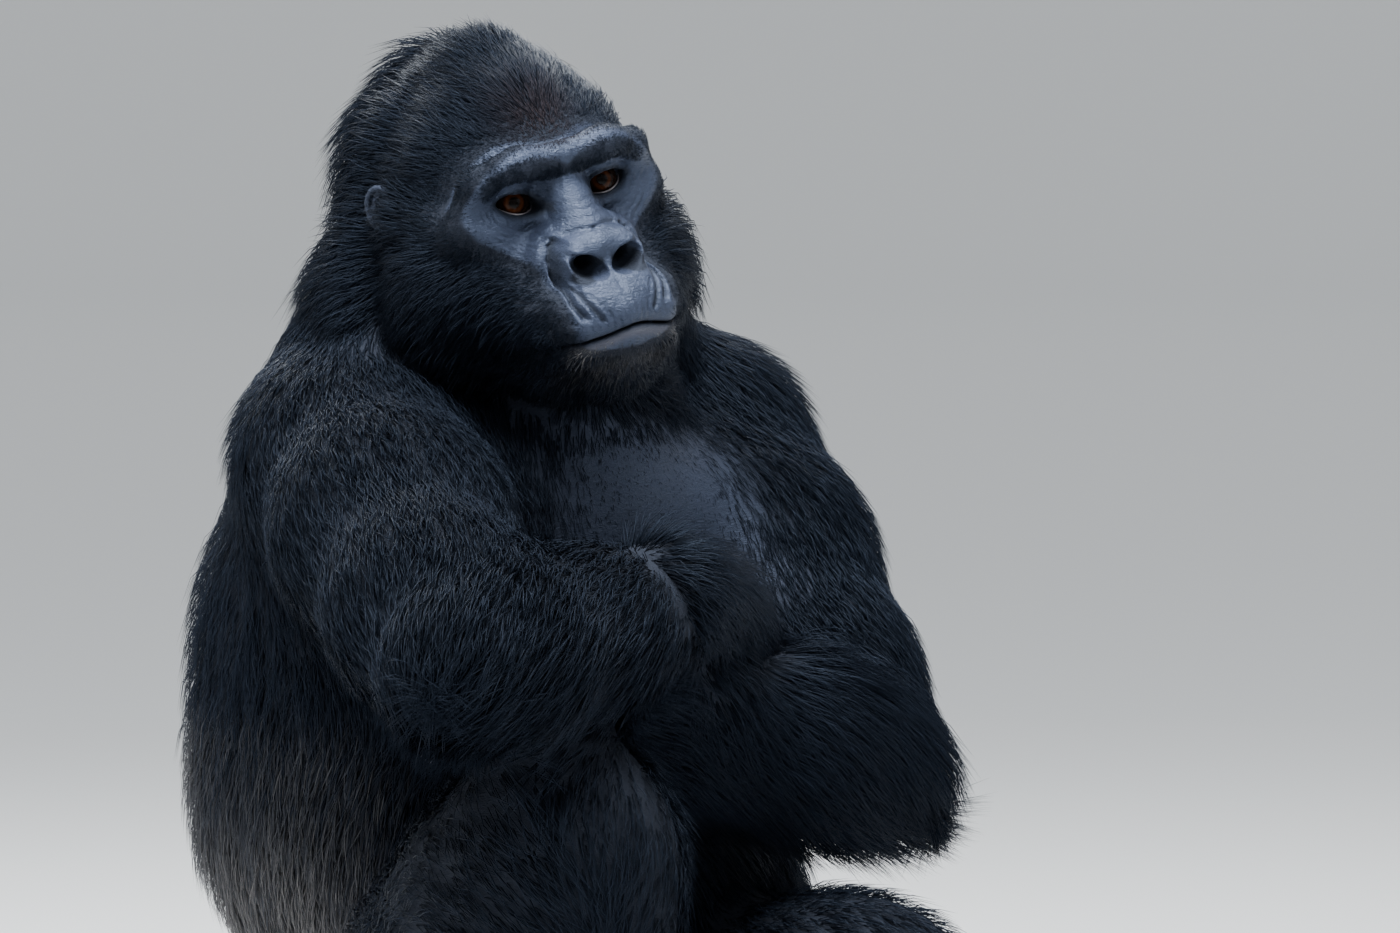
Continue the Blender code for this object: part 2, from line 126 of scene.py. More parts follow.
# %% Forms and blends
class Ball:
    """An ellipsoid: its centre and three radii in millimetres, and if need be its own axes."""

    def __init__(self, centre, radii, axes=None):
        self.centre = np.asarray(centre, np.float32)
        self.radii = np.asarray(radii, np.float32)
        self.axes = None if axes is None else np.asarray(axes, np.float32)
        reach = self.radii if axes is None else np.full(3, self.radii.max())
        self.low, self.high = self.centre - reach, self.centre + reach

    def distance(self, grid):
        away = [axis - middle for axis, middle in zip(grid, self.centre)]
        if self.axes is not None:
            away = [sum(away[i] * self.axes[i, j] for i in range(3)) for j in range(3)]
        near = np.sqrt(sum((a / r) ** 2 for a, r in zip(away, self.radii)))
        slope = np.sqrt(sum((a / r**2) ** 2 for a, r in zip(away, self.radii)))
        return near * (near - 1) / np.maximum(slope, 1e-6)


class Rod:
    """A round rod with ball ends that tapers from one radius to the other, in millimetres."""

    def __init__(self, start, end, radius_start, radius_end):
        self.start, self.end = np.asarray(start, np.float32), np.asarray(end, np.float32)
        self.radii = radius_start, radius_end
        reach = max(self.radii)
        self.low = np.minimum(self.start, self.end) - reach
        self.high = np.maximum(self.start, self.end) + reach

    def distance(self, grid):
        run = self.end - self.start
        away = [axis - first for axis, first in zip(grid, self.start)]
        share = np.clip(sum(a * r for a, r in zip(away, run)) / max(float(run @ run), 1e-9), 0, 1)
        gap = np.sqrt(sum((a - share * r) ** 2 for a, r in zip(away, run)))
        return gap - (self.radii[0] + share * (self.radii[1] - self.radii[0]))


def least(first, second, blend):
    """The smaller of two distances, with the crease between them rounded over so many millimetres."""
    share = np.clip(0.5 + 0.5 * (first - second) / blend, 0, 1)
    return first + share * (second - first) - blend * share * (1 - share)


# %% The block of clay
class Clay:
    FAR = 60.0

    def __init__(self, *axes):
        self.axes = [np.asarray(axis, np.float32) for axis in axes]
        self.field = np.full([len(axis) for axis in self.axes], self.FAR, np.float32)

    def window(self, low, high):
        """The part of the grid round a form, and the places of its points."""
        cut = tuple(
            slice(max(int(np.searchsorted(axis, first)) - 1, 0), int(np.searchsorted(axis, last)) + 1)
            for axis, first, last in zip(self.axes, low, high)
        )
        return cut, np.meshgrid(*[a[c] for a, c in zip(self.axes, cut)], indexing="ij", sparse=True)

    def add(self, form, blend=6.0):
        cut, grid = self.window(form.low - blend - 2, form.high + blend + 2)
        self.field[cut] = least(self.field[cut], form.distance(grid), blend)

    def carve(self, form, blend=3.0):
        cut, grid = self.window(form.low - blend - 2, form.high + blend + 2)
        self.field[cut] = -least(-self.field[cut], form.distance(grid), blend)

    def press(self, low, high, depth):
        """Moves the surface inwards by depth(x, y) millimetres within a window."""
        cut, (x, y, _) = self.window(low, high)
        self.field[cut] += depth(x, y).astype(np.float32)

    def soften(self, rounds):
        """Evens the clay out, so that broad forms run into each other without a crease."""
        for axis in (0, 1, 2) * rounds:
            field = np.moveaxis(self.field, axis, 0)
            field[1:-1] = (field[:-2] + 2 * field[1:-1] + field[2:]) / 4

    def value(self, points):
        """The distance kept at the grid point next to each of these points; far off outside the block."""
        spots, within = [], np.ones(len(points), bool)
        for axis, place in zip(self.axes, np.asarray(points).T):
            after = np.clip(np.searchsorted(axis, place), 1, len(axis) - 1)
            spots.append(np.where(place - axis[after - 1] < axis[after] - place, after - 1, after))
            within &= (place > axis[0]) & (place < axis[-1])
        return np.where(within, self.field[tuple(spots)], self.FAR)

    def surface(self):
        """(points, four-sided faces) of the surface: one point for each grid cell that it crosses."""
        inside = self.field < 0
        corners = np.zeros([n - 1 for n in inside.shape], np.uint8)
        for i, j, k in np.ndindex(2, 2, 2):
            corners += inside[i : i + corners.shape[0], j : j + corners.shape[1], k : k + corners.shape[2]]
        mixed = (corners > 0) & (corners < 8)
        cells = np.argwhere(mixed)
        number = np.full(corners.shape, -1, np.int32)
        number[mixed] = np.arange(len(cells))
        total, count = np.zeros((len(cells), 3)), np.zeros(len(cells))
        for axis in range(3):
            one, two = (axis + 1) % 3, (axis + 2) % 3
            for i, j in np.ndindex(2, 2):
                near = cells.copy()
                near[:, one] += i
                near[:, two] += j
                far = near.copy()
                far[:, axis] += 1
                a, b = self.field[tuple(near.T)], self.field[tuple(far.T)]
                crossed = (a < 0) != (b < 0)
                share = np.where(crossed, a / np.where(crossed, a - b, 1), 0)
                spot = np.stack([self.axes[k][near[:, k]] for k in range(3)], 1).astype(float)
                spot[:, axis] += share * (self.axes[axis][far[:, axis]] - spot[:, axis])
                total[crossed] += spot[crossed]
                count += crossed
        faces = []
        for axis in range(3):
            one, two = (axis + 1) % 3, (axis + 2) % 3
            first = np.take(inside, range(inside.shape[axis] - 1), axis)
            second = np.take(inside, range(1, inside.shape[axis]), axis)
            edges = np.argwhere(first != second)
            keep = (edges[:, one] > 0) & (edges[:, two] > 0)
            keep &= (edges[:, one] < corners.shape[one]) & (edges[:, two] < corners.shape[two])
            edges = edges[keep]
            outward = first[tuple(edges.T)]
            ring = []
            for back_one, back_two in ((0, 0), (1, 0), (1, 1), (0, 1)):
                cell = edges.copy()
                cell[:, one] -= back_one
                cell[:, two] -= back_two
                ring.append(number[tuple(cell.T)])
            quad = np.stack(ring, 1)
            faces.append(np.where(outward[:, None], quad, quad[:, ::-1]))
        return total / count[:, None], np.concatenate(faces)


def steps(*stops):
    """A grid axis: (from, step, to, step, to, ...) in millimetres."""
    runs = [np.arange(stops[i], stops[i + 2], stops[i + 1]) for i in range(0, len(stops) - 2, 2)]
    return np.append(np.concatenate(runs), stops[-1])


print("clay ready:", len(steps(-82, 1.25, 82)), "steps across a face of 164 mm")

# %% [markdown]
# ## The body under the coat
#
# These are the same masses as in the solids, but without their coat: barrel chest, pot belly, the
# shoulders that run straight into a thick neck, and limbs that taper to the wrist and the ankle. Hair
# hides nearly all of it, so the grid is coarse, the blends are wide and the clay is evened out.

# %% Trunk, neck and limbs
BODY_CELL = 7.5
BODY_BLEND = 30
BODY_SOFTENING = 12
body = Clay(steps(-440, BODY_CELL, 300), steps(-660, BODY_CELL, 250), steps(-30, BODY_CELL, 940))


def mm(point):
    return np.asarray(point, np.float32) * MM


def neck_rods(place):
    """The forms of the neck. place() turns world millimetres into the axes of a block of clay."""
    back = head_to_world((0, -12, -135)) * MM
    throat = head_to_world((0, -85, -45)) * MM
    rods = [
        Rod(place(mm(NECK_BASE)), place(back), 120, 88),
        Rod(place(mm((0, -0.050, 0.660))), place(throat), 85, 58),
    ]
    for side in (-1, 1):
        top = head_to_world((side * 38, -12, -145)) * MM
        rods.append(Rod(place(mm((side * 0.120, 0.025, 0.680))), place(top), 80, 56))
    return rods


def limb_rods(start, end, stations):
    """Rods from start to end through stations of (share of the length, radius in millimetres)."""
    start, end = mm(start), mm(end)
    spots = [(start + share * (end - start), radius) for share, radius in stations]
    return [Rod(a, b, near, far) for (a, near), (b, far) in zip(spots, spots[1:])]


# Stations along each part of a limb: share of its length and radius in millimetres.
UPPER_ARM = [(0.14, 78), (0.38, 80), (0.72, 67), (1.0, 52)]
FOREARM = [(0.0, 49), (0.25, 58), (0.62, 52), (1.0, 42)]
THIGH = [(0.0, 102), (0.45, 112), (0.80, 98), (1.0, 84)]
SHANK = [(0.0, 78), (0.32, 68), (0.70, 49), (1.0, 40)]


def trunk_balls():
    """Pelvis, belly, rib cage, shoulders and the breast between the arms."""
    balls = [
        Ball((0, 25, 155), (200, 155, 150)),
        Ball((0, -40, 305), (206, 170, 185)),
        Ball((0, 48, 410), (230, 175, 215)),
        Ball((0, 18, 550), (228, 178, 175)),
        Ball((0, 50, 645), (172, 135, 115)),
        Ball((5, -100, 622), (88, 72, 68)),
    ]
    for side in (-1, 1):
        balls.append(Ball((side * 100, 35, 98), (95, 110, 92)))
        balls.append(Ball((side * 82, -85, 592), (92, 75, 85)))
        balls.append(Ball((side * 145, 20, 500), (90, 125, 160)))
    return balls


REGIONS = {"trunk": trunk_balls(), "neck": neck_rods(np.asarray)}
for side in "rl":
    shoulder = Ball(mm(SHOULDER[side]), (84, 84, 78))
    REGIONS["upper_arm_" + side] = [shoulder] + limb_rods(SHOULDER[side], ELBOW[side], UPPER_ARM)
    REGIONS["forearm_" + side] = limb_rods(ELBOW[side], WRIST[side], FOREARM)
    REGIONS["thigh_" + side] = limb_rods(HIP[side], KNEE[side], THIGH)
    REGIONS["shank_" + side] = limb_rods(KNEE[side], ANKLE[side], SHANK)
for forms in REGIONS.values():
    for form in forms:
        body.add(form, BODY_BLEND)
body.soften(BODY_SOFTENING)
body_points, body_faces = body.surface()
print("body:", len(body_faces), "faces")

# %% [markdown]
# ## The head and its face
#
# A silverback's face is built from a few strong parts: a bar of bone over the eyes, deep sockets, a
# short bridge that opens into two padded wings round the nostrils, and a heavy upper lip. The skull
# behind it rises to a crest that carries the chewing muscles. Everything on the face is modelled
# first as large masses and then cut by folds.

# %% Head block and skull
head = Clay(
    steps(-128, 3, -82, 1.25, 82, 3, 128),
    steps(-190, 4, -152, 1.25, 48, 3.5, 118),
    steps(-250, 5, -46, 1.25, 96),
)


def both(clay_step, form, centre, *sizes, blend=6.0):
    """The same form on both sides of the face."""
    for side in (-1, 1):
        clay_step(form((side * centre[0], *centre[1:]), *sizes), blend)


def model_skull(clay):
    """Neck, brain case, crest, nape and jowls."""
    for rod in neck_rods(lambda point: world_to_head(np.asarray(point) / MM)):
        clay.add(rod, 20)
    clay.add(Ball((0, 18, -95), (73, 68, 98)), 14)
    clay.add(Ball((0, 42, -100), (58, 54, 72)), 14)
    clay.add(Ball((0, 28, -132), (78, 66, 60)), 16)
    both(clay.add, Ball, (42, 4, -72), (40, 50, 60), blend=14)
    clay.add(Rod((0, 52, -45), (0, 70, -105), 28, 34), 14)
    clay.add(Rod((0, 70, -105), (0, 58, -170), 34, 42), 14)
    clay.add(Ball((0, 15, -165), (90, 72, 64)), 16)
    both(clay.add, Ball, (70, -58, -62), (34, 58, 48), blend=18)


model_skull(head)
print("head block:", head.field.size, "grid points")


# %% Brow, sockets, cheekbones and muzzle
def model_face(clay):
    """The large masses, from the bar over the eyes down to the chin."""
    clay.add(Rod((-32, 29.5, 11.5), (32, 29.5, 11.5), 11.5, 11.5), 8)
    both(clay.add, Ball, (34, 30, 10.5), (23, 13, 13.5), blend=6)
    clay.add(Ball((0, -4, -24), (60, 34, 24)), 10)
    for side in (-1, 1):
        clay.add(Rod((side * 34, 31, 11.5), (side * 62, 21, -4), 12.5, 11.5), 6)
        clay.add(Rod((side * 62, 21, -4), (side * 73, -4, -14), 11.5, 11), 8)
        clay.add(Rod((side * 69, -14, -16), (side * 38, -33, -5), 17, 17.5), 9)
        clay.add(Ball((side * 53, -12, -12), (22, 18, 17)), 10)
        clay.add(Ball((side * 61, 4, -17), (15, 18, 16)), 9)
        clay.add(Rod((side * 70, -16, -30), (side * 84, -8, -80), 16, 16), 14)
    clay.add(Rod((0, 8, 5), (0, -26, 33), 15.5, 16.5), 12)
    clay.add(Ball((0, -8, 2), (30, 17, 14)), 12)
    clay.add(Ball((0, -44, 18), (45, 34, 33)), 10)
    clay.add(Ball((0, -78, 41), (56, 31, 45)), 12)
    clay.add(Ball((0, -104, 41), (50, 22, 42)), 10)
    clay.add(Ball((0, -126, 34), (36, 22, 34)), 12)
    for side in (-1, 1):
        clay.add(Rod((side * 34, -120, 12), (side * 70, -76, -66), 26, 34), 16)
        clay.add(Rod((side * 40, -84, 22), (side * 58, -52, -22), 25, 27), 14)
    clay.add(Ball((0, -100, -30), (58, 48, 60)), 18)


model_face(head)
print("clay of the head:", int((head.field < 0).sum()), "grid points")

# %% [markdown]
# ## Sockets, lids and eyes
#
# The eye of a gorilla sits far back under the brow. The socket is carved first. The lids are a thin
# shell of clay round the eyeball, opened by an almond that slants. The eyeball itself is a separate
# piece that later fills the pocket.

# %% Sockets and lids
EYE_OUT = 36.0
EYE_DEPTH = -11.3
EYE_RADIUS = 14.4
LID = 2.3
SLIT_HALF = 17.0
SLIT_TILT = math.radians(12)
SLIT_RISE, SLIT_DROP = 8.3, 6.8


def eye_frame(x, y, side):
    """(out, up) in millimetres from the middle of one eye, along and across its slanting opening."""
    across, up = (x - side * EYE_OUT) * side, y
    return (
        across * math.cos(SLIT_TILT) + up * math.sin(SLIT_TILT),
        up * math.cos(SLIT_TILT) - across * math.sin(SLIT_TILT),
    )


UPPER_BOW, LOWER_BOW = 0.7, 0.8


def lid_edge(out, rise, power):
    """Height of a lid's edge above the line through the two corners."""
    return rise * np.maximum(1 - (out / SLIT_HALF) ** 2, 0) ** power


def from_lids(x, y, side):
    """How far a point lies outside the opening between the lids; less than 0 is inside it."""
    out, up = eye_frame(x, y, side)
    above = up - lid_edge(out, SLIT_RISE, UPPER_BOW)
    below = -lid_edge(out, SLIT_DROP, LOWER_BOW) - up
    return np.maximum(np.maximum(above, below), np.abs(out) - SLIT_HALF)


class Almond:
    """The opening between the lids, as a hole that runs out of the face."""

    def __init__(self, side):
        self.side = side
        middle = np.array((side * EYE_OUT, 0, EYE_DEPTH + 12), np.float32)
        self.low, self.high = middle - (20, 14, 14), middle + (20, 14, 26)

    def distance(self, grid):
        x, y, z = grid
        return np.maximum(from_lids(x, y, self.side), EYE_DEPTH + 3 - z)


def model_sockets(clay):
    """Hollow sockets, a shell round each eyeball, full lids above and below, and the openings."""
    both(clay.carve, Ball, (38, 7, 14), (18, 11.5, 13), blend=8)
    both(clay.add, Ball, (EYE_OUT, 0, EYE_DEPTH), (EYE_RADIUS + LID,) * 3, blend=3.0)
    both(clay.add, Ball, (EYE_OUT + 1, -13, -6), (15, 6.5, 9), blend=5)
    both(clay.add, Ball, (EYE_OUT, 13.0, -3.5), (15, 6.5, 11), blend=5)
    for side in (-1, 1):
        clay.carve(Almond(side), 1.2)


model_sockets(head)
print("eye opening:", 2 * SLIT_HALF, "by", SLIT_RISE + SLIT_DROP, "mm")

# %% [markdown]
# ## Nose and mouth
#
# The wings of the nose are two cushions. Each nostril is a slanting hole whose outer end runs out into
# a slit, so it is carved with tapering rods. The mouth is closed: a thin carved line that dips in the
# middle, a heavy upper lip above it and a fuller rolled lower lip below.

# %% Wings, nostrils, lips
NOSTRIL_TAIL = [(-34, -30, 50), (-28, -34.5, 61), (-22, -39, 68)]
NOSTRIL_TAIL_RADII = (1.6, 3.2, 5.5)
NOSTRIL_MIDDLE = (16.2, -45, 67)
NOSTRIL_SIZE = (15.2, 8.8, 18)
NOSTRIL_SLANT = math.radians(-31)
MOUTH_LINE = [(-60, -101), (-46, -98), (-34, -96.5), (-20, -93.5), (-8, -90.5), (0, -89.5)]
MOUTH_FRONT = [(0, 86), (22, 81), (38, 70), (50, 54), (60, 34)]
MOUTH_HALF = 47
LIP_DEPTH = 13


def chain(clay_step, points, radii, blend):
    """A string of rods through a list of points."""
    for (start, end), (near, far) in zip(zip(points, points[1:]), zip(radii, radii[1:])):
        clay_step(Rod(start, end, near, far), blend)


def flipped(points):
    return [(-x, y, z) for x, y, z in points]


def mouth_height(x):
    """Where the closed lips meet, with the slight waver of a real mouth."""
    return np.interp(-np.abs(x), *zip(*MOUTH_LINE)) + 0.8 * np.sin(x * 0.13)


def model_nose(clay):
    both(clay.add, Ball, (20, -45, 43), (17.5, 21, 23), blend=5)
    both(clay.add, Ball, (12, -34, 48), (11, 10, 12), blend=7)
    clay.add(Ball((0, -35, 49), (11, 12, 14)), 8)
    clay.add(Rod((0, -38, 56), (0, -58, 68), 3.6, 4.5), 5)
    both(clay.add, Ball, (16, -60, 60), (15, 8, 12), blend=8)
    for turn, side in ((list, 1), (flipped, -1)):
        chain(clay.carve, turn(NOSTRIL_TAIL), NOSTRIL_TAIL_RADII, 2.0)
        slant = np.array(Matrix.Rotation(NOSTRIL_SLANT * side, 3, "Z"))
        clay.carve(Ball((-side * NOSTRIL_MIDDLE[0], *NOSTRIL_MIDDLE[1:]), NOSTRIL_SIZE, slant), 2.0)
        clay.carve(Rod((side * -15, -44, 60), (side * -13, -38, 34), 7.5, 6.0), 2.0)


class Slit:
    """The line between closed lips: thin, and a few millimetres deep."""

    low, high = np.array((-60, -112, 10), np.float32), np.array((60, -80, 100), np.float32)

    def distance(self, grid):
        x, y, z = grid
        depth = np.interp(np.abs(x), *zip(*MOUTH_FRONT)) - LIP_DEPTH
        gap = np.abs(y - mouth_height(x)) - 0.8
        return np.maximum(gap, np.maximum(depth - z, np.abs(x) - MOUTH_HALF))


def model_mouth(clay):
    clay.add(Ball((0, -77, 57), (48, 20, 27)), 10)
    lower = [(-43, -104, 47), (-29, -102.5, 66), (0, -99, 74)]
    upper = [(-49, -89, 52), (-31, -86, 70), (0, -81, 77)]
    for turn in (list, flipped):
        chain(clay.add, turn(lower), (6.5, 8.0, 9.0), 6)
        chain(clay.add, turn(upper), (8, 9.5, 10), 8)
    clay.carve(Slit(), 2.6)


model_nose(head)
model_mouth(head)
print("nostrils and mouth cut")

# %% [markdown]
# ## Folds
#
# Skin folds where it is pushed together: in arcs under the eyes, across the bridge, round the wings of
# the nose and in short upright pleats on the lip. Each fold is a line across the face along which the
# clay is pressed in. Only folds that are wide enough to catch light as shape are made here. Pores and
# fine wrinkles come later, as bump.

# %% Pressing folds
FACE_LOW, FACE_HIGH = np.array((-82, -150, -42)), np.array((82, 47, 95))


def from_line(x, y, points):
    """Distance on the face, in millimetres, from a line through points (x, y)."""
    nearest = None
    for (ax, ay), (bx, by) in zip(points, points[1:]):
        run_x, run_y = bx - ax, by - ay
        share = np.clip(((x - ax) * run_x + (y - ay) * run_y) / (run_x**2 + run_y**2), 0, 1)
        gap = np.hypot(x - ax - share * run_x, y - ay - share * run_y)
        nearest = gap if nearest is None else np.minimum(nearest, gap)
    return nearest


# Each fold on the animal's right side: width and depth in millimetres, then its line.
FOLDS = [
    (2.2, 4.2, [(-27, -26), (-31.5, -31), (-34, -39), (-34.5, -54), (-37, -68), (-33, -77)]),
    (2.2, 1.5, [(-31, -23), (-36, -32), (-39, -48), (-42, -64), (-42, -80)]),
    (2.0, 2.6, [(-31.5, -58), (-29, -66), (-24, -76), (-21, -81)]),
    (1.3, 1.3, [(-33, -40), (-31, -50), (-28.5, -57)]),
    (1.3, 1.0, [(-25, -62), (-19, -71), (-15, -80)]),
    (1.5, 0.9, [(-20, -6), (-20, -12), (-23, -18)]),
    (1.3, 0.8, [(-70, -3), (-60, -20), (-49, -30)]),
    (1.3, 0.8, [(-66, -1), (-56, -16), (-45, -26)]),
    (1.2, 0.6, [(-61, -1), (-52, -13), (-41, -22)]),
    (1.3, 0.8, [(-5, 31), (-6, 20), (-9, 9)]),
    (1.5, 1.3, [(-20, -22), (-10, -19.5), (0, -20.5)]),
    (1.2, 0.5, [(-16, -3), (-7, -1), (0, -2)]),
    (1.2, 0.5, [(-17, -9), (-8, -7), (0, -8)]),
    (1.2, 0.6, [(-18, -14), (-9, -12), (0, -13)]),
]
# Which of them get painted shade: the skin along them is painted black.
PAINTED_SHADE_FOLDS = (0, 2)
# Folds in rings round each eye: radius, width and depth.
EYE_ARCS = [(16.6, 1.5, 1.3), (20.5, 1.1, 0.9), (24.5, 1.1, 0.8), (28.5, 1.0, 0.6)]
LID_CREASES = [(11.3, 0.9, 1.2), (14.2, 0.9, 0.8)]


def press_folds(x, y):
    depth = 0.0
    for width, deep, line in FOLDS:
        for turn in (-1, 1):
            gap = from_line(x * -turn, y, line)
            depth = depth + deep * np.exp(-((gap / width) ** 2))
    return depth


def press_eye_arcs(x, y):
    """Rings of fine folds under each eye, and creases in its upper lid."""
    depth = 0.0
    for side in (-1, 1):
        out, up = eye_frame(x, y, side)
        waver = 0.7 * np.sin(out * 0.31 + side) + 0.4 * np.sin(out * 0.83 + 2)
        reach = np.hypot(out / 1.28, up) + waver
        below = smoothstep(-up, 1, 8) * smoothstep(np.abs(x), 20, 30)
        above = smoothstep(up, 4, 9)
        for radius, width, deep in EYE_ARCS:
            depth = depth + below * deep * np.exp(-(((reach - radius) / width) ** 2))
        for radius, width, deep in LID_CREASES:
            depth = depth + above * deep * np.exp(-(((reach - radius) / width) ** 2))
    return depth


def press_lip_pleats(x, y):
    """The groove between the nostrils, and short upright pleats over the upper lip."""
    depth = 1.0 * np.exp(-((x / 2.6) ** 2)) * smoothstep(y, -70, -60) * smoothstep(-y, 28, 36)
    for number, middle in enumerate(np.arange(-32, 33, 5.3)):
        lean = middle + 0.12 * (y + 74) * np.sign(middle) + 0.5 * np.sin(y * 0.4 + number)
        top = -64 - 5 * (number % 3)
        ends = smoothstep(-y, -top, -top + 7) * smoothstep(y, -90, -84)
        depth = depth + 0.75 * ends * np.exp(-(((x - lean) / 1.0) ** 2))
    return depth


for folds in (press_folds, press_eye_arcs, press_lip_pleats):
    head.press(FACE_LOW, FACE_HIGH, folds)
head_points, head_faces = head.surface()
print("head:", len(head_faces), "faces,", len(FOLDS) * 2, "folds")

# %% [markdown]
# ## Ears, hands and feet
#
# These have small forms of their own, so each gets a finer block of clay. A gorilla's ear is small and
# lies close to the head: a rolled rim, a hollow and a stub of a lobe. The fingers and toes are chains
# of short thick rods that swell at each joint. The left hand is a loose fist under the right forearm.

# %% Ears
EAR_PLACE = (97, 1, -105)
EAR_SIZE = 0.86
EAR_TURN = math.radians(62)


def ear_axes(side):
    return HEAD_AXES @ np.array(Matrix.Rotation(side * EAR_TURN, 3, "Y"), np.float32)


def model_ear(side):
    clay = Clay(steps(-20, 0.9, 20), steps(-27, 0.9, 27), steps(-9, 0.9, 13))
    rim = []
    for degrees in range(-100, 201, 20):
        angle = math.radians(degrees)
        rim.append((side * 13.5 * math.cos(angle), 19 * math.sin(angle), 3.6 + 1.6 * math.cos(angle)))
    chain(clay.add, rim, np.linspace(3.0, 2.3, len(rim)), 1.5)
    clay.add(Ball((0, -1, -1.5), (13, 18, 3.6)), 3)
    fold = [(side * 6.5, -9, 2.0), (side * 8.0, 0, 3.0), (side * 5.5, 8, 3.0), (0, 12, 2.6)]
    chain(clay.add, fold, (1.8, 2.2, 2.0, 1.4), 2.5)
    clay.add(Ball((side * 1, -18, 1.5), (6, 6.5, 3.6)), 3)
    clay.add(Ball((side * -9.5, -5, 4.0), (3.2, 4.5, 3.0)), 2)
    clay.carve(Ball((side * -2, -3, 4.5), (6.5, 9, 5.5)), 2)
    clay.carve(Ball((side * -5, -5, 2), (3.5, 4, 7)), 2)
    points, faces = clay.surface()
    place = head_to_world((side * EAR_PLACE[0], *EAR_PLACE[1:]))
    return EAR_SIZE * points / MM @ ear_axes(side).T + place, faces


ears = {name: model_ear(side) for name, side in (("r", -1), ("l", 1))}
print("ears:", {name: len(faces) for name, (_, faces) in ears.items()})

# %% Hands
HAND_AIM = {"r": (0.88, 0.40, -0.22), "l": (-0.93, 0.13, 0.04)}
HAND_BACK = {"r": (0.35, -0.80, 0.42), "l": (-0.10, -0.85, 0.50)}
FINGER_CURL = {"r": (10, 16, 12), "l": (78, 96, 62)}
PALM = 98
PHALANGES = (46, 36, 26)
FINGER_RADII = (12.5, 11.5, 10.5)
FINE_CELL = 3.4


def unit(vector):
    vector = np.asarray(vector, float)
    return vector / np.linalg.norm(vector, axis=-1, keepdims=True)


def hand_axes(side):
    """Towards the knuckles, across the palm and out of the back of the hand."""
    aim = unit(HAND_AIM[side])
    across = unit(np.cross(aim, HAND_BACK[side]))
    return aim, across, np.cross(across, aim)


def block_round(points, margin, cell):
    """A block of clay that reaches a margin past all the points."""
    low, high = np.min(points, 0) - margin, np.max(points, 0) + margin
    return Clay(*[steps(a, cell, b) for a, b in zip(low, high)])


def finger_bones(side):
    """For each finger: its joints, and at its tip the way it points and the way its nail faces."""
    aim, across, back = hand_axes(side)
    wrist = mm(WRIST[side])
    fingers = []
    for finger in range(4):
        reach = 1.0 - 0.10 * abs(finger - 1.2)
        joints, angle = [wrist + aim * PALM + across * (33 - 22 * finger)], 0.0
        for bend, length in zip(FINGER_CURL[side], PHALANGES):
            angle += math.radians(bend)
            ahead = aim * math.cos(angle) - back * math.sin(angle)
            joints.append(joints[-1] + ahead * length * reach)
        fingers.append((joints, ahead, back * math.cos(angle) + aim * math.sin(angle)))
    root = wrist + aim * 26 + across * 34 - back * 6
    knuckle = root + aim * 38 + across * 18 - back * 12
    tip = knuckle + aim * 32 - back * 6
    fingers.append(([root, knuckle, tip], unit(tip - knuckle), unit(across * 0.7 + back * 0.7)))
    return fingers


def model_hand(side):
    aim, across, back = hand_axes(side)
    wrist = mm(WRIST[side])
    fingers = finger_bones(side)
    ends = [wrist - aim * 30, *(joint for joints, _, _ in fingers for joint in joints)]
    clay = block_round(ends, 62, FINE_CELL)
    clay.add(Rod(wrist - aim * 45, wrist + aim * 30, 39, 36), 10)
    clay.add(Ball(wrist + aim * 58, (56, 47, 24), np.stack((aim, across, back), 1)), 14)
    for joints, _, up in fingers[:4]:
        chain(clay.add, joints, (12.0, *FINGER_RADII), 5)
        clay.add(Rod(wrist + aim * 40 + (joints[0] - wrist - aim * PALM) * 0.6, joints[0], 12, 13), 12)
        for joint, radius in zip(joints[:3], (14.5, 13.0, 11.8)):
            clay.add(Ball(joint + up * 1.5, (radius,) * 3), 5)
    root, knuckle, tip = fingers[4][0]
    clay.add(Rod(root, knuckle, 15, 12.5), 12)
    clay.add(Rod(knuckle, tip, 12.5, 10.5), 5)
    clay.add(Ball(root + across * 2, (20, 18, 17)), 14)
    return clay


hand_clay = {side: model_hand(side) for side in "rl"}
print("hands:", {side: clay.field.size for side, clay in hand_clay.items()}, "grid points")

# %% Feet
FOOT_AIM = {"r": (-0.22, -1.0, 0.0), "l": (0.20, -1.0, 0.0)}
BIG_TOE_SIDE = {"r": 1, "l": -1}
TOE_REACH = (50, 54, 50, 42)
UP = np.array((0.0, 0.0, 1.0))


def foot_axes(side):
    """Towards the toes, and across towards the big toe."""
    aim = unit(FOOT_AIM[side])
    return aim, np.cross(aim, UP) * -BIG_TOE_SIDE[side]


def toe_bones(side):
    """For each toe, the big one last: its joints, their radii, and the way its tip points."""
    aim, inward = foot_axes(side)
    root = mm((*ANKLE[side][:2], 0))
    toes = []
    for toe, reach in enumerate(TOE_REACH):
        base = root + aim * (166 - 8 * toe) + inward * (30 - 25 * toe)
        middle, tip = base + aim * reach * 0.55 + UP * 25, base + aim * reach + UP * 13
        joints = [base - aim * 14 + UP * 24, base + UP * 22, middle, tip]
        toes.append((joints, (14, 15, 14, 12.5), unit(tip - middle)))
    heel = root + aim * 85 + inward * 34 + UP * 25
    joint = heel + aim * 52 + inward * 30
    tip = joint + aim * 36 + inward * 4 - UP * 6
    toes.append(([heel, joint, tip], (24, 19.5, 16), unit(tip - joint)))
    return toes


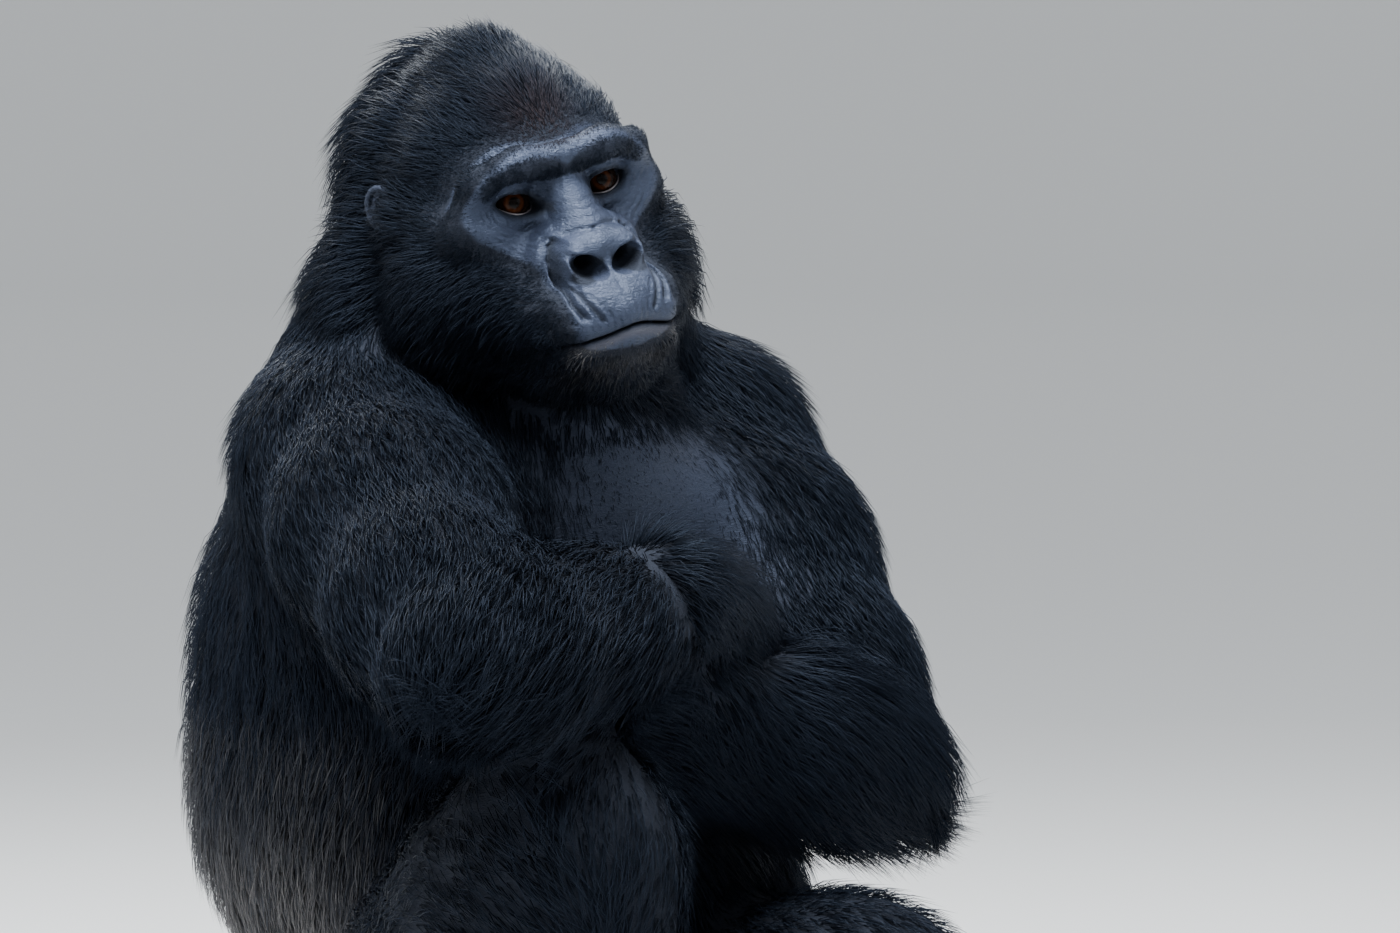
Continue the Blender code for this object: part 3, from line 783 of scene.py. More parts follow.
def model_foot(side):
    aim, inward = foot_axes(side)
    ankle = mm(ANKLE[side])
    root = ankle * (1, 1, 0)
    toes = toe_bones(side)
    ends = [ankle + UP * 30, root - aim * 40, *(joint for joints, _, _ in toes for joint in joints)]
    clay = block_round(ends, 60, FINE_CELL + 0.5)
    shin = unit(mm(ANKLE[side]) - mm(KNEE[side]))
    clay.add(Rod(ankle - shin * 45, ankle, 44, 39), 12)
    clay.add(Rod(ankle, root - aim * 30 + UP * 35, 38, 34), 14)
    clay.add(Rod(ankle, root + aim * 70 + UP * 40, 36, 31), 16)
    axes = np.stack((aim, inward, UP), 1)
    clay.add(Ball(root + aim * 80 + UP * 34, (90, 46, 32), axes), 16)
    clay.add(Ball(root + aim * 140 + UP * 28, (46, 53, 26), axes), 14)
    for joints, radii, _ in toes:
        chain(clay.add, joints, radii, 5)
        for joint, radius in zip(joints[1:-1], radii[1:-1]):
            clay.add(Ball(joint + UP * 1, (radius + 1.2,) * 3), 5)
    return clay


foot_clay = {side: model_foot(side) for side in "rl"}
print("feet:", {side: clay.field.size for side, clay in foot_clay.items()}, "grid points")

# %% [markdown]
# ## One skin
#
# The shells overlap deep in each other under the hair at the neck, wrists and ankles, and are joined
# into one piece. The markings are worked out from where a point lies on the animal, and are kept on
# the points as numbers between 0 and 1: how silver the place is, how rusty, how bare (lowered under
# the brow to paint shade there), and how much painted shade it gets in a hollow. The coat later asks
# the same functions, so skin and coat carry the same markings.

# %% Where the face is bare, and the markings
# Half the width of the bare face at heights (y, half width), from the chin up to the brow.
BARE_HALF = [
    (-106, 0), (-104, 24), (-101, 34), (-96, 40), (-90, 42), (-76, 42), (-61, 41), (-47, 41), (-39, 46),
    (-32, 55), (-25, 65), (-19, 73), (-8, 80), (0, 81), (13, 77), (24, 71), (32, 63), (38, 54), (43, 42),
    (47, 20),
]
# The upper edge of the bare face, (x, y), from the middle outwards.
BROW_TOP = [(0, 40), (14, 42.5), (28, 45), (42, 42.5), (54, 36), (62, 29), (70, 21), (76, 11), (90, -20)]


def bareness(points):
    """How many millimetres a point in head axes lies inside the bare face; less than 0 is outside."""
    x, y, z = np.asarray(points).T
    x = np.abs(x)
    across = np.interp(y, *zip(*BARE_HALF)) - x
    down = np.interp(x, *zip(*BROW_TOP)) - y
    return np.minimum(np.minimum(across, down), np.minimum(y + 106, z + 34 - 0.5 * np.maximum(y - 15, 0)))


def brow_hair_and_shade(points):
    """1 on the front and underside of the brow, in head axes, and 0 elsewhere: dense short hair and painted
    shade.
    """
    x, y, z = np.asarray(points).T
    x = np.abs(x)
    top = np.interp(x, (0, 10, 28, 44, 58, 68), (27, 33, 38.5, 37, 30, 20))
    foot = np.interp(x, (0, 14, 22, 36, 50, 62), (17, 15, 15.5, 20, 16.5, 9))
    return smoothstep(top - y, 0, 4) * smoothstep(y - foot, 0, 2.5) * smoothstep(-x, -70, -60)


def markings(points):
    """(silver, rust) for points in world metres: the saddle, the pale lip and chin, and the crown."""
    x, y, z = np.asarray(points).T
    across, up, out = world_to_head(points).T
    waver = 0.030 * np.sin(x * 31 + 1) * np.sin(z * 23) + 0.018 * np.sin(x * 77 + z * 61)
    saddle = smoothstep(-(z + waver + 2.5 * x * x), -0.640, -0.36) * smoothstep(y + 0.4 * waver, -0.11, 0.02)
    saddle = saddle * (1 - 0.75 * smoothstep(-z, -0.16, -0.02))
    under_mouth = up - np.interp(-np.abs(across), *zip(*MOUTH_LINE)) + 5.5
    lip = np.exp(-((under_mouth / 3.4) ** 2)) * smoothstep(-np.abs(across), -45, -36)
    chin = 0.30 * np.exp(-(((up + 116) / 10) ** 2) - (across / 36) ** 4)
    silver = np.maximum(saddle, (out > 20) * np.maximum(0.9 * lip, chin))
    rust = smoothstep(-np.abs(across), -46, -4) * smoothstep(up, 26, 44)
    rust = rust * smoothstep(-up, -86, -52) * smoothstep(out, -60, 0)
    return silver, rust


def chest_patch(points):
    """1 on the breast between the arms, where the hair of a silverback is short and thin; world metres."""
    x, y, z = np.asarray(points).T
    near = np.exp(-(((x - 0.005) / 0.098) ** 4) - ((z - 0.625) / 0.072) ** 4)
    return near * smoothstep(-y, 0.07, 0.12)


def bare_skin(shell, points):
    """How bare a shell is, from 0 to 1, at points in world metres."""
    if shell == "head":
        local = world_to_head(points)
        # Under the brow the skin counts as less bare, so it is painted dark as shade.
        return smoothstep(bareness(local), -1.5, 3.5) * (1 - 0.9 * brow_hair_and_shade(local))
    if shell.startswith("hand"):
        return 0.5 * smoothstep((points * MM - mm(WRIST[shell[-1]])) @ hand_axes(shell[-1])[0], 92, 104)
    if shell.startswith("foot"):
        ahead = (points * MM - mm(ANKLE[shell[-1]])) @ foot_axes(shell[-1])[0]
        return 0.5 * np.maximum(smoothstep(ahead, 138, 160), smoothstep(-points[:, 2] * MM, -22, -12))
    if shell == "body":
        return 0.85 * chest_patch(points)
    return np.full(len(points), 0.4 * shell.startswith("ear"))


def painted_hollow_shade(points):
    """Painted shade: 1 where skin is painted black in the nostrils, between the lips, round the eyes and in
    deep folds.
    """
    x, y, z = world_to_head(points).T
    side = np.where(x < 0, -1, 1)
    away = x * side - NOSTRIL_MIDDLE[0], y - NOSTRIL_MIDDLE[1]
    long = away[0] * math.cos(NOSTRIL_SLANT) + away[1] * math.sin(NOSTRIL_SLANT)
    short = away[1] * math.cos(NOSTRIL_SLANT) - away[0] * math.sin(NOSTRIL_SLANT)
    reach = np.hypot(long / NOSTRIL_SIZE[0], short / NOSTRIL_SIZE[1])
    rim = np.interp(y, (-60, -50, -42, -34), (72, 70, 62, 52))
    nostril = smoothstep(-reach, -1.12, -0.92) * smoothstep(rim + 6 - z, 0, 7) * (z > 20)
    mouth = np.exp(-(((y - mouth_height(x)) / 2.6) ** 2)) * (np.abs(x) < MOUTH_HALF + 2) * (z > 20)
    lids = smoothstep(-from_lids(x, y, side), -5.0, -1.8) * (z > -40)
    creases = [np.exp(-((from_line(-np.abs(x), y, FOLDS[i][2]) / 1.5) ** 2)) for i in PAINTED_SHADE_FOLDS]
    crease = 0.9 * np.maximum(*creases) * (z > 5)
    return np.clip(np.max((nostril, 0.9 * mouth, 0.9 * lids, crease), axis=0), 0, 1)


# %% Mesh makers
def deselect():
    for thing in bpy.context.selected_objects:
        thing.select_set(False)


def new_mesh(name, points, faces):
    """An object at the origin from arrays of points and of faces that all have as many corners."""
    mesh = bpy.data.meshes.new(name)
    mesh.vertices.add(len(points))
    mesh.vertices.foreach_set("co", np.asarray(points, np.float32).ravel())
    mesh.loops.add(faces.size)
    mesh.loops.foreach_set("vertex_index", np.asarray(faces, np.int32).ravel())
    mesh.polygons.add(len(faces))
    mesh.polygons.foreach_set("loop_start", np.arange(0, faces.size, faces.shape[1], dtype=np.int32))
    mesh.update(calc_edges=True)
    mesh.polygons.foreach_set("use_smooth", np.ones(len(faces), bool))
    thing = bpy.data.objects.new(name, mesh)
    bpy.context.scene.collection.objects.link(thing)
    return thing


def mark(thing, *marks):
    """Keeps four values between 0 and 1 on each point of a mesh."""
    values = np.stack(marks, 1).astype(np.float32)
    layer = thing.data.attributes.new("marks", "FLOAT_COLOR", "POINT")
    layer.data.foreach_set("color", values.ravel())


def shells_joined(shells):
    points, faces, base = [], [], 0
    for shell_points, shell_faces in shells:
        points.append(shell_points)
        faces.append(shell_faces + base)
        base += len(shell_points)
    return np.concatenate(points), np.concatenate(faces)


# %% Join the shells
shells = {"body": (body_points / MM, body_faces), "head": (head_to_world(head_points), head_faces)}
for kind, blocks in (("hand_", hand_clay), ("foot_", foot_clay)):
    for side in "rl":
        points, faces = blocks[side].surface()
        shells[kind + side] = (points / MM, faces)
shells.update({"ear_" + side: ears[side] for side in "rl"})
skin_points, skin_faces = shells_joined(shells.values())
skin_points[:, 2] = np.maximum(skin_points[:, 2], 0.0)
skin = new_mesh("skin", skin_points, skin_faces)
bare = np.concatenate([bare_skin(name, points) for name, (points, _) in shells.items()])
mark(skin, *markings(skin_points), bare, painted_hollow_shade(skin_points))
flesh = [name for name in frame["nodes"] if not name.startswith("eye")]
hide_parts(*flesh)
print("skin:", len(skin_faces) * 2, "triangles")

# %% [markdown]
# ## Materials
#
# Shader maths reads best as arithmetic. A small class stands for a value on a wire: adding, taking away
# or multiplying such values adds the matching Math nodes. One method adds any other node from its type,
# its settings and what goes into its sockets.

# %% Arithmetic on wires
class Wire:
    """A value that a node gives out. Arithmetic on it adds Math nodes."""

    def __init__(self, tree, socket):
        self.tree, self.socket = tree, socket

    def math(self, operation, *values):
        return Shader.add(self.tree, "ShaderNodeMath", {"operation": operation}, dict(enumerate(values)))

    def __add__(self, other):
        return self.math("ADD", self, other)

    def __sub__(self, other):
        return self.math("SUBTRACT", self, other)

    def __rsub__(self, other):
        return self.math("SUBTRACT", other, self)

    def __mul__(self, other):
        return self.math("MULTIPLY", self, other)

    def clamped(self):
        return self.math("MINIMUM", self.math("MAXIMUM", self, 0.0), 1.0)

    __radd__, __rmul__ = __add__, __mul__


class Shader:
    """A new material with a Principled surface."""

    def __init__(self, name, **constants):
        self.material = bpy.data.materials.new(name)
        self.material.use_nodes = True
        self.tree = self.material.node_tree
        self.surface = self.tree.nodes["Principled BSDF"]
        for socket, value in constants.items():
            self.surface.inputs[socket.replace("_", " ")].default_value = value

    @staticmethod
    def add(tree, kind, settings=None, sockets=None, out=0):
        """Adds a node, sets it, links or sets its sockets, and returns one of its outputs as a Wire."""
        node = tree.nodes.new(kind)
        for key, value in (settings or {}).items():
            if key == "stops":
                Shader.set_stops(node.color_ramp, value)
            else:
                setattr(node, key, value)
        for key, value in (sockets or {}).items():
            if isinstance(value, Wire):
                tree.links.new(value.socket, node.inputs[key])
            else:
                node.inputs[key].default_value = value
        return Wire(tree, node.outputs[out])

    @staticmethod
    def set_stops(ramp, stops):
        while len(ramp.elements) < len(stops):
            ramp.elements.new(1.0)
        for element, (place, colour) in zip(ramp.elements, stops):
            element.position, element.color = place, (*colour, 1.0)

    def node(self, kind, settings=None, sockets=None, out=0):
        return self.add(self.tree, kind, settings, sockets, out)

    def mix(self, factor, first, second):
        """One colour running over into another as the factor goes from 0 to 1."""
        return self.node("ShaderNodeMix", {"data_type": "RGBA"}, {0: factor, 6: first, 7: second}, out=2)

    def noise(self, place, scale, detail=2.0, **sockets):
        settings = {"Vector": place, "Scale": scale, "Detail": detail, **sockets}
        return self.node("ShaderNodeTexNoise", None, settings)

    def marks(self):
        """The four values that are kept on the points."""
        kept = self.tree.nodes.new("ShaderNodeAttribute")
        kept.attribute_name = "marks"
        colour = Wire(self.tree, kept.outputs["Color"])
        parts = self.tree.nodes.new("ShaderNodeSeparateColor")
        self.tree.links.new(colour.socket, parts.inputs[0])
        return [Wire(self.tree, out) for out in parts.outputs] + [Wire(self.tree, kept.outputs["Alpha"])]

    def set(self, **values):
        for socket, wire in values.items():
            self.tree.links.new(wire.socket, self.surface.inputs[socket.replace("_", " ")])

    def bump(self, height, strength, distance):
        sockets = {"Strength": strength, "Distance": distance, "Height": height}
        self.set(Normal=self.node("ShaderNodeBump", None, sockets))


def rgb(*values):
    return (*values, 1.0)


# %% Skin
def skin_material():
    """Slate-grey leather with an oily gloss, pores and fine wrinkles; darker where hair covers it.
    In the hollows and under the brow it is painted black as shade.
    """
    shader = Shader("gorilla_skin", Specular_IOR_Level=0.58, Specular_Tint=rgb(0.60, 0.72, 1.0))
    place = shader.node("ShaderNodeTexCoord", out="Object")
    silver, rust, bare, hollow = shader.marks()
    broad = shader.noise(place, 38.0, 3.0)
    fine = shader.noise(place, 420.0, 3.0)
    slate = shader.mix(broad, rgb(0.009, 0.012, 0.021), rgb(0.028, 0.035, 0.060))
    slate = shader.mix((fine - 0.45) * 0.9, slate, rgb(0.048, 0.058, 0.094))
    under = shader.mix(silver, rgb(0.0035, 0.0036, 0.005), rgb(0.040, 0.039, 0.041))
    slate = shader.mix(silver * 0.8, slate, rgb(0.085, 0.080, 0.090))
    # Painted shade: black in the nostrils, along the mouth line, round the eye opening and in the deep
    # creases.
    slate = shader.mix(hollow, slate, rgb(0.0015, 0.0015, 0.002))
    # Where the skin is not bare it takes the dark colour of skin under hair; under the brow that is painted
    # shade.
    shader.set(Base_Color=shader.mix(bare, under, slate))
    shader.set(Roughness=0.88 - 0.44 * bare + (fine - 0.5) * 0.25 + (broad - 0.5) * 0.25 + hollow * 0.3)
    stretched = shader.node("ShaderNodeMapping", None, {"Vector": place, "Scale": (1.0, 1.0, 2.6)})
    cells = shader.node("ShaderNodeTexVoronoi", {"feature": "DISTANCE_TO_EDGE"},
                        {"Vector": stretched, "Scale": 430.0}, out="Distance")
    wrinkle = shader.noise(stretched, 150.0, 5.0, Distortion=1.2)
    shader.bump(cells.math("MINIMUM", cells, 0.12) * 1.6 + wrinkle * 2.6 + fine * 0.7, 0.50, 0.0011)
    return shader.material


skin.data.materials.append(skin_material())
print("skin painted")


# %% Coat
def coat_finish():
    """Black hair with a cool sheen, partly painted as paler, bluer tips; silver over the saddle, and a rusty
    crown between the brows.
    """
    shader = Shader("gorilla_hair", Specular_IOR_Level=0.20, Specular_Tint=rgb(0.50, 0.68, 1.0))
    silver, rust, share, chance = shader.marks()
    black = shader.mix(chance, rgb(0.0016, 0.0018, 0.0028), rgb(0.0055, 0.0068, 0.0110))
    # Each tuft turns paler and bluer towards its tip: a painted bluish sheen.
    black = shader.mix(share * 0.6, black, rgb(0.0085, 0.0115, 0.0200))
    brown = shader.mix(chance, rgb(0.012, 0.007, 0.005), rgb(0.034, 0.016, 0.010))
    pale = shader.mix(chance, rgb(0.055, 0.051, 0.050), rgb(0.280, 0.265, 0.255))
    colour = shader.mix(rust * share * 0.9, black, brown)
    shader.set(Base_Color=shader.mix((silver * (0.45 + 0.75 * share)).clamped(), colour, pale))
    shader.set(Roughness=0.50 + 0.15 * chance)
    return shader.material

# %% [markdown]
# ## The lie of the coat
#
# Hair on an ape runs down the neck and back, out along the shoulders to the elbow, and on the forearm
# the other way, from the wrist to the elbow, where the long locks hang. Each region of the body knows
# the line it was built round, and that gives the way its hair runs and how long it is. Near a joint
# the regions blend by how close their forms are.

# %% Regions and their hair
# Each: way of the hair (a start and an end, in mm), length at the start and the end of it in mm, how much
# it hangs, how steeply it leaves the skin in degrees, and the width of a tuft in mm.
HAIR = {"neck": (head_to_world((0, 0, -130)) * MM, mm((0, 0.06, 0.62)), 50, 52, 0.25, 20, 1.4)}
for side in "rl":
    HAIR["upper_arm_" + side] = (mm(SHOULDER[side]), mm(ELBOW[side]), 48, 60, 0.30, 17, 1.35)
    HAIR["forearm_" + side] = (mm(WRIST[side]), mm(ELBOW[side]), 50, 72, 1.00, 16, 1.4)
    HAIR["thigh_" + side] = (mm(HIP[side]), mm(KNEE[side]), 48, 50, 0.30, 17, 1.5)
    HAIR["shank_" + side] = (mm(KNEE[side]), mm(ANKLE[side]), 46, 46, 0.25, 20, 1.4)
    knuckles = mm(WRIST[side]) + hand_axes(side)[0] * 110
    toes = mm(ANKLE[side]) + foot_axes(side)[0] * 160 - UP * 60
    HAIR["hand_" + side] = (mm(WRIST[side]), knuckles, 54, 46, 1.00, 24, 1.4)
    HAIR["foot_" + side] = (mm(ANKLE[side]), toes, 34, 9, 0.05, 16, 1.3)
# The right hand is tucked against the other arm, and its hair lies the way that arm's does.
HAIR["hand_r"] = (mm(WRIST["r"]), mm(ELBOW["l"]), 56, 50, 0.60, 24, 1.4)
# Over how many millimetres the hair of one region runs over into the next.
REGION_REACH = 44.0


def region_pull(points):
    """For world points in mm: how strongly each region of the body claims them, one row for each point."""
    grid = tuple(np.asarray(points, np.float32).T)
    near = [np.min([form.distance(grid) for form in REGIONS[name]], axis=0) for name in REGIONS]
    pull = np.exp(-((np.maximum(np.stack(near, 1), 0) / REGION_REACH) ** 2)) + 1e-6
    return pull / pull.sum(1, keepdims=True)


def along(points, line):
    """How far along a line each point lies, from 0 to 1."""
    run = line[1] - line[0]
    return np.clip((points - line[0]) @ run / (run @ run), 0, 1)


def region_hair(name, points):
    """(way, length, droop, lift, width) of one region's hair at world points in mm."""
    count = len(points)
    if name == "trunk":
        x, y, z = points.T
        behind = smoothstep(y, -30, 70)
        way = np.stack((x / 200 * (0.55 - 0.35 * behind), 0 * x, -np.ones(count)), 1)
        saddle = markings(points / MM)[0]
        chest = np.exp(-(((np.abs(x) - 70) / 75) ** 2) - ((z - 585) / 75) ** 2) * (1 - behind)
        length = 52 - 18 * saddle - 26 * chest
        return way, length, np.full(count, 0.25), 30 - 8 * saddle, np.full(count, 1.4)
    start, end, near, far, droop, lift, width = HAIR[name]
    way = np.broadcast_to(unit(end - start), (count, 3))
    length = near + (far - near) * along(points, (start, end))
    return way, length, np.full(count, droop), np.full(count, lift), np.full(count, width)


def head_hair(points):
    """The same for the head: from the face back over the crown and down the cheeks."""
    local = world_to_head(points / MM)
    x, y, z = local.T
    low = smoothstep(-y, 5, 60)
    nape = smoothstep(-z, 105, 175)
    way = np.stack((0.25 * np.sign(x) * low, -0.75 * low - 1.3 * nape, -1 + 0.9 * nape), 1)
    edge = smoothstep(-bareness(local), 0, 38)
    chin = smoothstep(-y, 84, 100) * smoothstep(z, -30, 10)
    side = smoothstep(np.abs(x), 45, 75) * edge
    shaggy = (32 + 14 * low + 18 * nape + 8 * side) * edge * (1 - 0.72 * chin)
    length = 4.0 + shaggy + 1.5 * brow_hair_and_shade(local)
    lift = 18 + 8 * low * edge + 14 * side + 12 * nape
    width = 0.6 + 0.5 * edge + 0.5 * nape
    return way @ HEAD_AXES.T, length, 0.10 + 0.35 * low * edge, lift, width


def hair_at(shell, points, normals):
    """(way, length, droop, lift, width) at roots, world mm, blended over the regions near them."""
    if shell == "head":
        rows = [(head_hair(points), 1 - smoothstep(-world_to_head(points / MM)[:, 2], 120, 190)[:, None])]
        rows.append((region_hair("neck", points), 1 - rows[0][1]))
    elif shell == "body":
        pull = region_pull(points)
        rows = [(region_hair(name, points), pull[:, [i]]) for i, name in enumerate(REGIONS)]
    else:
        rows = [(region_hair(shell, points), np.ones((len(points), 1)))]
    way = sum(unit(row[0]) * share for row, share in rows)
    way = unit(way - normals * np.sum(way * normals, axis=1, keepdims=True))
    length, droop, lift, width = (sum(row[i] * share[:, 0] for row, share in rows) for i in range(1, 5))
    breast = chest_patch(points / MM) if shell == "body" else 0.0
    return way, length * (1 - 0.92 * breast), droop, lift * (1 - 0.4 * breast), width * (1 - 0.5 * breast)


def flowing(faces, ways, normals, rounds):
    """Evens the way of the hair out over neighbouring points of the skin, still lying along it."""
    corners = faces.ravel()
    for _ in range(rounds):
        middle = np.repeat(ways[faces].mean(1), 4, axis=0)
        ways = np.stack([np.bincount(corners, middle[:, i], len(ways)) for i in range(3)], 1)
        ways = unit(ways - normals * np.sum(ways * normals, axis=1, keepdims=True) + 1e-9)
    return ways


# %% [markdown]
# ## Roots
#
# Roots are drawn by chance, evenly over the skin, but not on the bare face, palms, soles, fingers and
# toes, and not where one part lies inside another. Each tuft is given a small patch of the map OFBake,
# which lies at its root's place on an unrolling of the skin: each region is unrolled round its own line
# into a cell of its own.

# %% Where hair grows
CHANCE = np.random.default_rng(11)
# How bare a shell may be and still grow hair.
BARE_LIMIT = {"body": 0.9, "head": 0.5, "hand": 0.25, "foot": 0.25}


def inside_other(shell, points):
    """Whether world points in mm on a shell are hidden in, or doubled by, another shell."""
    hidden = np.zeros(len(points), bool)
    if shell == "body":
        hidden |= head.value(world_to_head(points / MM)) < 3
        for blocks in (hand_clay, foot_clay):
            for clay in blocks.values():
                hidden |= clay.value(points) < 2
    else:
        hidden |= body.value(points) < (-16 if shell == "head" else -3)
    return hidden


def grows(shell, points, normals):
    """Whether hair grows at world points in mm."""
    hairy = bare_skin(shell, points / MM) < BARE_LIMIT[shell[:4]]
    if shell == "head":
        hairy |= bareness(world_to_head(points / MM)) < 11
    if shell.startswith("hand"):
        aim, across, back = hand_axes(shell[-1])
        hairy &= (normals @ back > -0.15) | ((points - mm(WRIST[shell[-1]])) @ aim < 18)
    if shell.startswith("foot"):
        hairy &= (points[:, 2] > 22) & (normals[:, 2] > -0.4)
    return hairy & (points[:, 2] > 4) & ~inside_other(shell, points)


def unrolled(shell, points):
    """Places on the unrolled skin, between 0 and 1."""
    names = [*REGIONS, "head", "hand_r", "hand_l", "foot_r", "foot_l"]
    if shell == "body":
        cell = region_pull(points).argmax(1)
    else:
        cell = np.full(len(points), names.index(shell))
    place = np.zeros((len(points), 2))
    for number in np.unique(cell):
        here = cell == number
        name = names[number]
        if name in ("trunk", "head", "neck"):
            middle = mm((0, 0.03, 0)) if name == "trunk" else EYE_MIDDLE * MM - Vector(HEAD_AXES[:, 2] * 100)
            line = [np.array((*middle[:2], height)) for height in (0.0, 1000.0)]
        else:
            line = HAIR[name][:2]
        run = unit(line[1] - line[0])
        first = unit(np.cross(run, (0.3, 0.9, 0.2)))
        away = points[here] - line[0]
        angle = np.arctan2(away @ np.cross(run, first), away @ first) / (2 * math.pi) + 0.5
        length = (away @ run) / np.linalg.norm(line[1] - line[0])
        place[here] = np.stack((angle, np.clip(0.5 + 0.35 * (length - 0.5), 0, 1)), 1) * 0.23 + 0.01
        place[here] += (number % 4 / 4, number // 4 / 4)
    return place


FLOW_ROUNDS = {"body": 30, "head": 6}


def shell_quads():
    """For each shell: corners, their normals, ways of the hair and areas of its faces, in world mm."""
    found = {}
    normals = np.empty(len(skin_points) * 3, np.float32)
    skin.data.vertices.foreach_get("normal", normals)
    normals, base = normals.reshape(-1, 3), 0
    for name, (points, faces) in shells.items():
        corners = skin_points[faces + base] * MM
        diagonals = corners[:, 2] - corners[:, 0], corners[:, 3] - corners[:, 1]
        area = np.linalg.norm(np.cross(*diagonals), axis=1) / 2
        here = slice(base, base + len(points))
        rounds = FLOW_ROUNDS.get(name, 0)
        ways = np.zeros((len(points), 3))
        if not name.startswith("ear"):
            ways = hair_at(name, skin_points[here] * MM, normals[here])[0]
            ways = flowing(faces, ways, normals[here], rounds)
        found[name] = (corners, normals[faces + base], ways[faces], area)
        base += len(points)
    return found


QUADS = shell_quads()
print("skin:", round(sum(quads[-1].sum() for quads in QUADS.values()) / 1e6, 2), "square metres")

# %% [markdown]
# ## Tufts
#
# A tuft is a flat three-sided prism that leaves the skin at a shallow angle, bends over to lie along
# the body, and ends in a point. Neighbours lean together into locks. There are far too many to place
# by hand, so they are built as arrays of points, a whole piece of coat at a time.

# %% Growing tufts
LOCK_CELL = 15.0
# Rings of three points in a tuft, below its own last point.
RINGS = 2
# Three large primes, which give each small cell of space a number of its own.
CELL_PRIMES = (73856093, 19349663, 83492791)
# How much of the map OFBake a tuft covers, each way.
PATCH = 0.003


def lock_tips(roots, tips, cell):
    """The mean tip of all tufts whose roots share a small cell of space."""
    key = np.floor((roots + 6 * np.sin(roots[:, [1, 2, 0]] / 17)) / cell).astype(np.int64)
    _, owner = np.unique(key @ np.array(CELL_PRIMES), return_inverse=True)
    owner = owner.reshape(-1)
    count = np.bincount(owner)
    mean = np.stack([np.bincount(owner, tips[:, i]) / count for i in range(3)], 1)
    return mean[owner], owner


def prism_faces(rings):
    """Triangles of one tuft: a cap at the root, walls between its rings, and a point."""
    faces = [(0, 2, 1)]
    for ring in range(rings - 1):
        for corner in range(3):
            a, b = ring * 3 + corner, ring * 3 + (corner + 1) % 3
            faces += [(a, b, b + 3), (a, b + 3, a + 3)]
    last = rings * 3
    faces += [(last - 3 + corner, last - 3 + (corner + 1) % 3, last) for corner in range(3)]
    return np.array(faces)


def tuft_points(roots, normals, hair, rings):
    """Points of all tufts, (tuft, point, 3) in mm, and how far along its tuft each point lies."""
    way, length, droop, lift, width = hair
    count = len(roots)
    length = length * CHANCE.uniform(0.72, 1.22, count)
    lift = np.radians(lift * CHANCE.uniform(0.55, 1.35, count))
    sway = np.cross(way, normals) * CHANCE.normal(0, 0.16, count)[:, None]
    start = unit(way + sway) * np.cos(lift)[:, None] + normals * np.sin(lift)[:, None]
    bend = -0.10 * CHANCE.uniform(0.2, 1.6, count)
    hang = np.outer(droop * CHANCE.uniform(0.6, 1.3, count), -UP)
    end = unit(way + 2.0 * sway + normals * bend[:, None] + hang)
    outward = np.maximum(0, -np.sum(end * normals, axis=1) - 0.10)[:, None]
    end = unit(end + normals * outward)
    tips = roots + length[:, None] * (start + end) / 2
    together, lock = lock_tips(roots, tips, LOCK_CELL * (0.45 + 0.55 * np.minimum(length / 60, 1)[:, None]))
    pull = CHANCE.uniform(0.15, 0.75, count)[:, None] * (together - tips)
    pulled = np.maximum(np.linalg.norm(pull, axis=1, keepdims=True), 1e-6)
    pull *= np.minimum(1, 0.35 * length[:, None] / pulled)
    shares = np.append(np.linspace(0, 0.56, rings), 1.0)
    rows = []
    for share, fat in zip(shares, [*np.linspace(0.85, 0.75, rings), 0.0]):
        middle = roots + length[:, None] * (start * (share - share**2 / 2) + end * share**2 / 2)
        middle = middle + pull * share**1.6
        if share == 0:
            middle = middle - normals * 1.5
        if share == 1:
            rows.append(middle[:, None])
            continue
        ahead = unit(start * (1 - share) + end * share)
        across = unit(np.cross(ahead, normals))
        thick = np.cross(across, ahead)
        for corner in range(3):
            angle = math.radians(90 + 120 * corner)
            flat = across * math.cos(angle) + thick * (0.42 * math.sin(angle))
            rows.append((middle + flat * (width * fat * 0.5)[:, None])[:, None])
    return np.concatenate(rows, 1), np.append(np.repeat(shares[:-1], 3), 1.0), lock


def build_coat(name, roots, normals, hair, patches, slot_name):
    """One piece of coat. Its marks are silver, rust, how far along its tuft a point lies, and chance."""
    points, share, lock = tuft_points(roots, normals, hair, RINGS)
    points[..., 2] = np.maximum(points[..., 2], 0.5 + CHANCE.uniform(0, 2, len(points))[:, None])
    count, each = points.shape[:2]
    faces = (prism_faces(RINGS)[None] + np.arange(count)[:, None, None] * each).reshape(-1, 3)
    piece = new_mesh(name, points.reshape(-1, 3) / MM, faces)
    silver, rust = markings(roots / MM)
    silver = np.clip(silver + CHANCE.normal(0, 0.10, count) * (silver > 0.02), 0, 1)
    chance = 0.5 * CHANCE.uniform(0, 1, count) + 0.5 * CHANCE.uniform(0, 1, lock.max() + 1)[lock]
    spread = [np.repeat(values, each) for values in (silver, rust)]
    mark(piece, *spread, np.tile(share, count), np.repeat(chance, each))
    patch = np.stack((share, np.arange(each) % 3 / 3), 1) * PATCH
    layer = piece.data.uv_layers.new(name="OFBake")
    places = (patches[:, None] + patch[None]).reshape(-1, 2)[faces.ravel()]
    layer.data.foreach_set("uv", places.astype(np.float32).ravel())
    print(name + ":", count, "tufts,", len(faces), "triangles")
    return piece


